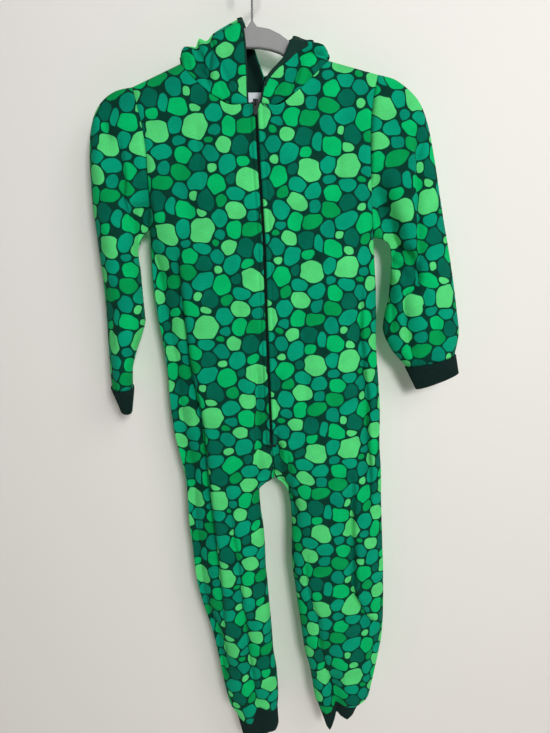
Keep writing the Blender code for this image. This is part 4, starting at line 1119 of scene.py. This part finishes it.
def bright_wire():
    """Zinc-plated steel wire: bright, drawn along its length."""
    material, tree, shader = new_material("zinc_plated_wire")
    place = add(tree, "TexCoord", {}, out=3)
    drawn = add(tree, "TexNoise", {0: place, "Scale": 700.0, "Detail": 2.0})
    rough = add(tree, "MapRange", {0: drawn, 1: 0.3, 2: 0.7, 3: 0.2, 4: 0.38})
    tree.links.new(rough, shader["Roughness"])
    shade = add(tree, "Mix", {0: drawn, 6: linear("8E9092"), 7: linear("B4B6B8")}, out=2, data_type="RGBA")
    tree.links.new(shade, shader["Base Color"])
    shader["Metallic"].default_value = 1.0
    return material


for node, finish in (("hanger_body", moulded_plastic()), ("hanger_hook", bright_wire())):
    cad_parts[node].data.materials.clear()
    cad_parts[node].data.materials.append(finish)

# ----------------------------------------------------------------------------------------- stage
# A pale painted wall close behind, seen from its front only, a pale floor, and soft studio light from
# the upper right that throws a faint shadow to the left.

WALL_Y = 0.049
FLOOR_Z = -1.62


def one_sided(name, colour):
    """Matt paint that is clear from behind and to light, so the back of the garment can be seen and lit."""
    material, tree, shader = new_material(name)
    shader["Base Color"].default_value = linear(colour)
    shader["Roughness"].default_value = 0.9
    behind = add(tree, "NewGeometry", {}, out="Backfacing")
    shadow = add(tree, "LightPath", {}, out="Is Shadow Ray")
    clear = add(tree, "Math", {0: behind, 1: shadow}, operation="MAXIMUM")
    through = add(tree, "BsdfTransparent", {})
    solid = tree.nodes["Principled BSDF"].outputs[0]
    mixed = add(tree, "MixShader", {0: clear, 1: solid, 2: through})
    tree.links.new(mixed, tree.nodes["Material Output"].inputs["Surface"])
    return material


def stage_sheet(name, half, turn, place, material):
    """Square of the stage, facing up before it is turned about X."""
    work = bmesh.new()
    matrix = Matrix.Translation(place) @ Matrix.Rotation(turn, 4, "X")
    bmesh.ops.create_grid(work, x_segments=1, y_segments=1, size=half, matrix=matrix)
    mesh = bpy.data.meshes.new(name)
    work.to_mesh(mesh)
    work.free()
    mesh.materials.append(material)
    item = bpy.data.objects.new(name, mesh)
    bpy.context.scene.collection.objects.link(item)


stage_sheet("wall", 4, math.pi / 2, (0, WALL_Y, FLOOR_Z + 4), one_sided("wall_paint", "F0EDE8"))
floor_paint, floor_tree, floor_shader = new_material("floor_paint")
floor_shader["Base Color"].default_value = linear("E2DFDA")
floor_shader["Roughness"].default_value = 0.85
stage_sheet("floor", 5, 0, (0, 0, FLOOR_Z), floor_paint)

LIGHTS = (
    # name, place, aimed at, width, power in watts
    ("key", (0.58, -2.1, 0.25), (0, 0, -0.55), 0.45, 29),
    ("fill", (1.5, -1.95, 0.9), (0, 0, -0.55), 1.8, 24),
    ("back", (0.6, 2.4, 0.8), (0, 0, -0.5), 2.0, 45),
)
for name, place, aim, width, power in LIGHTS:
    lamp = bpy.data.lights.new(name, "AREA")
    lamp.size = width
    lamp.energy = power
    light = bpy.data.objects.new(name, lamp)
    heading = np.array(aim, float) - np.array(place, float)
    light.location = place
    light.rotation_euler = (math.atan2(math.hypot(heading[0], heading[1]), -heading[2]), 0,
                            math.atan2(-heading[0], heading[1]))
    bpy.context.scene.collection.objects.link(light)

world = bpy.data.worlds.new("studio")
world.use_nodes = True
world.node_tree.nodes["Background"].inputs["Color"].default_value = linear("ECEBE9")
world.node_tree.nodes["Background"].inputs["Strength"].default_value = 0.12
bpy.context.scene.world = world
bpy.context.scene.view_settings.view_transform = "Standard"
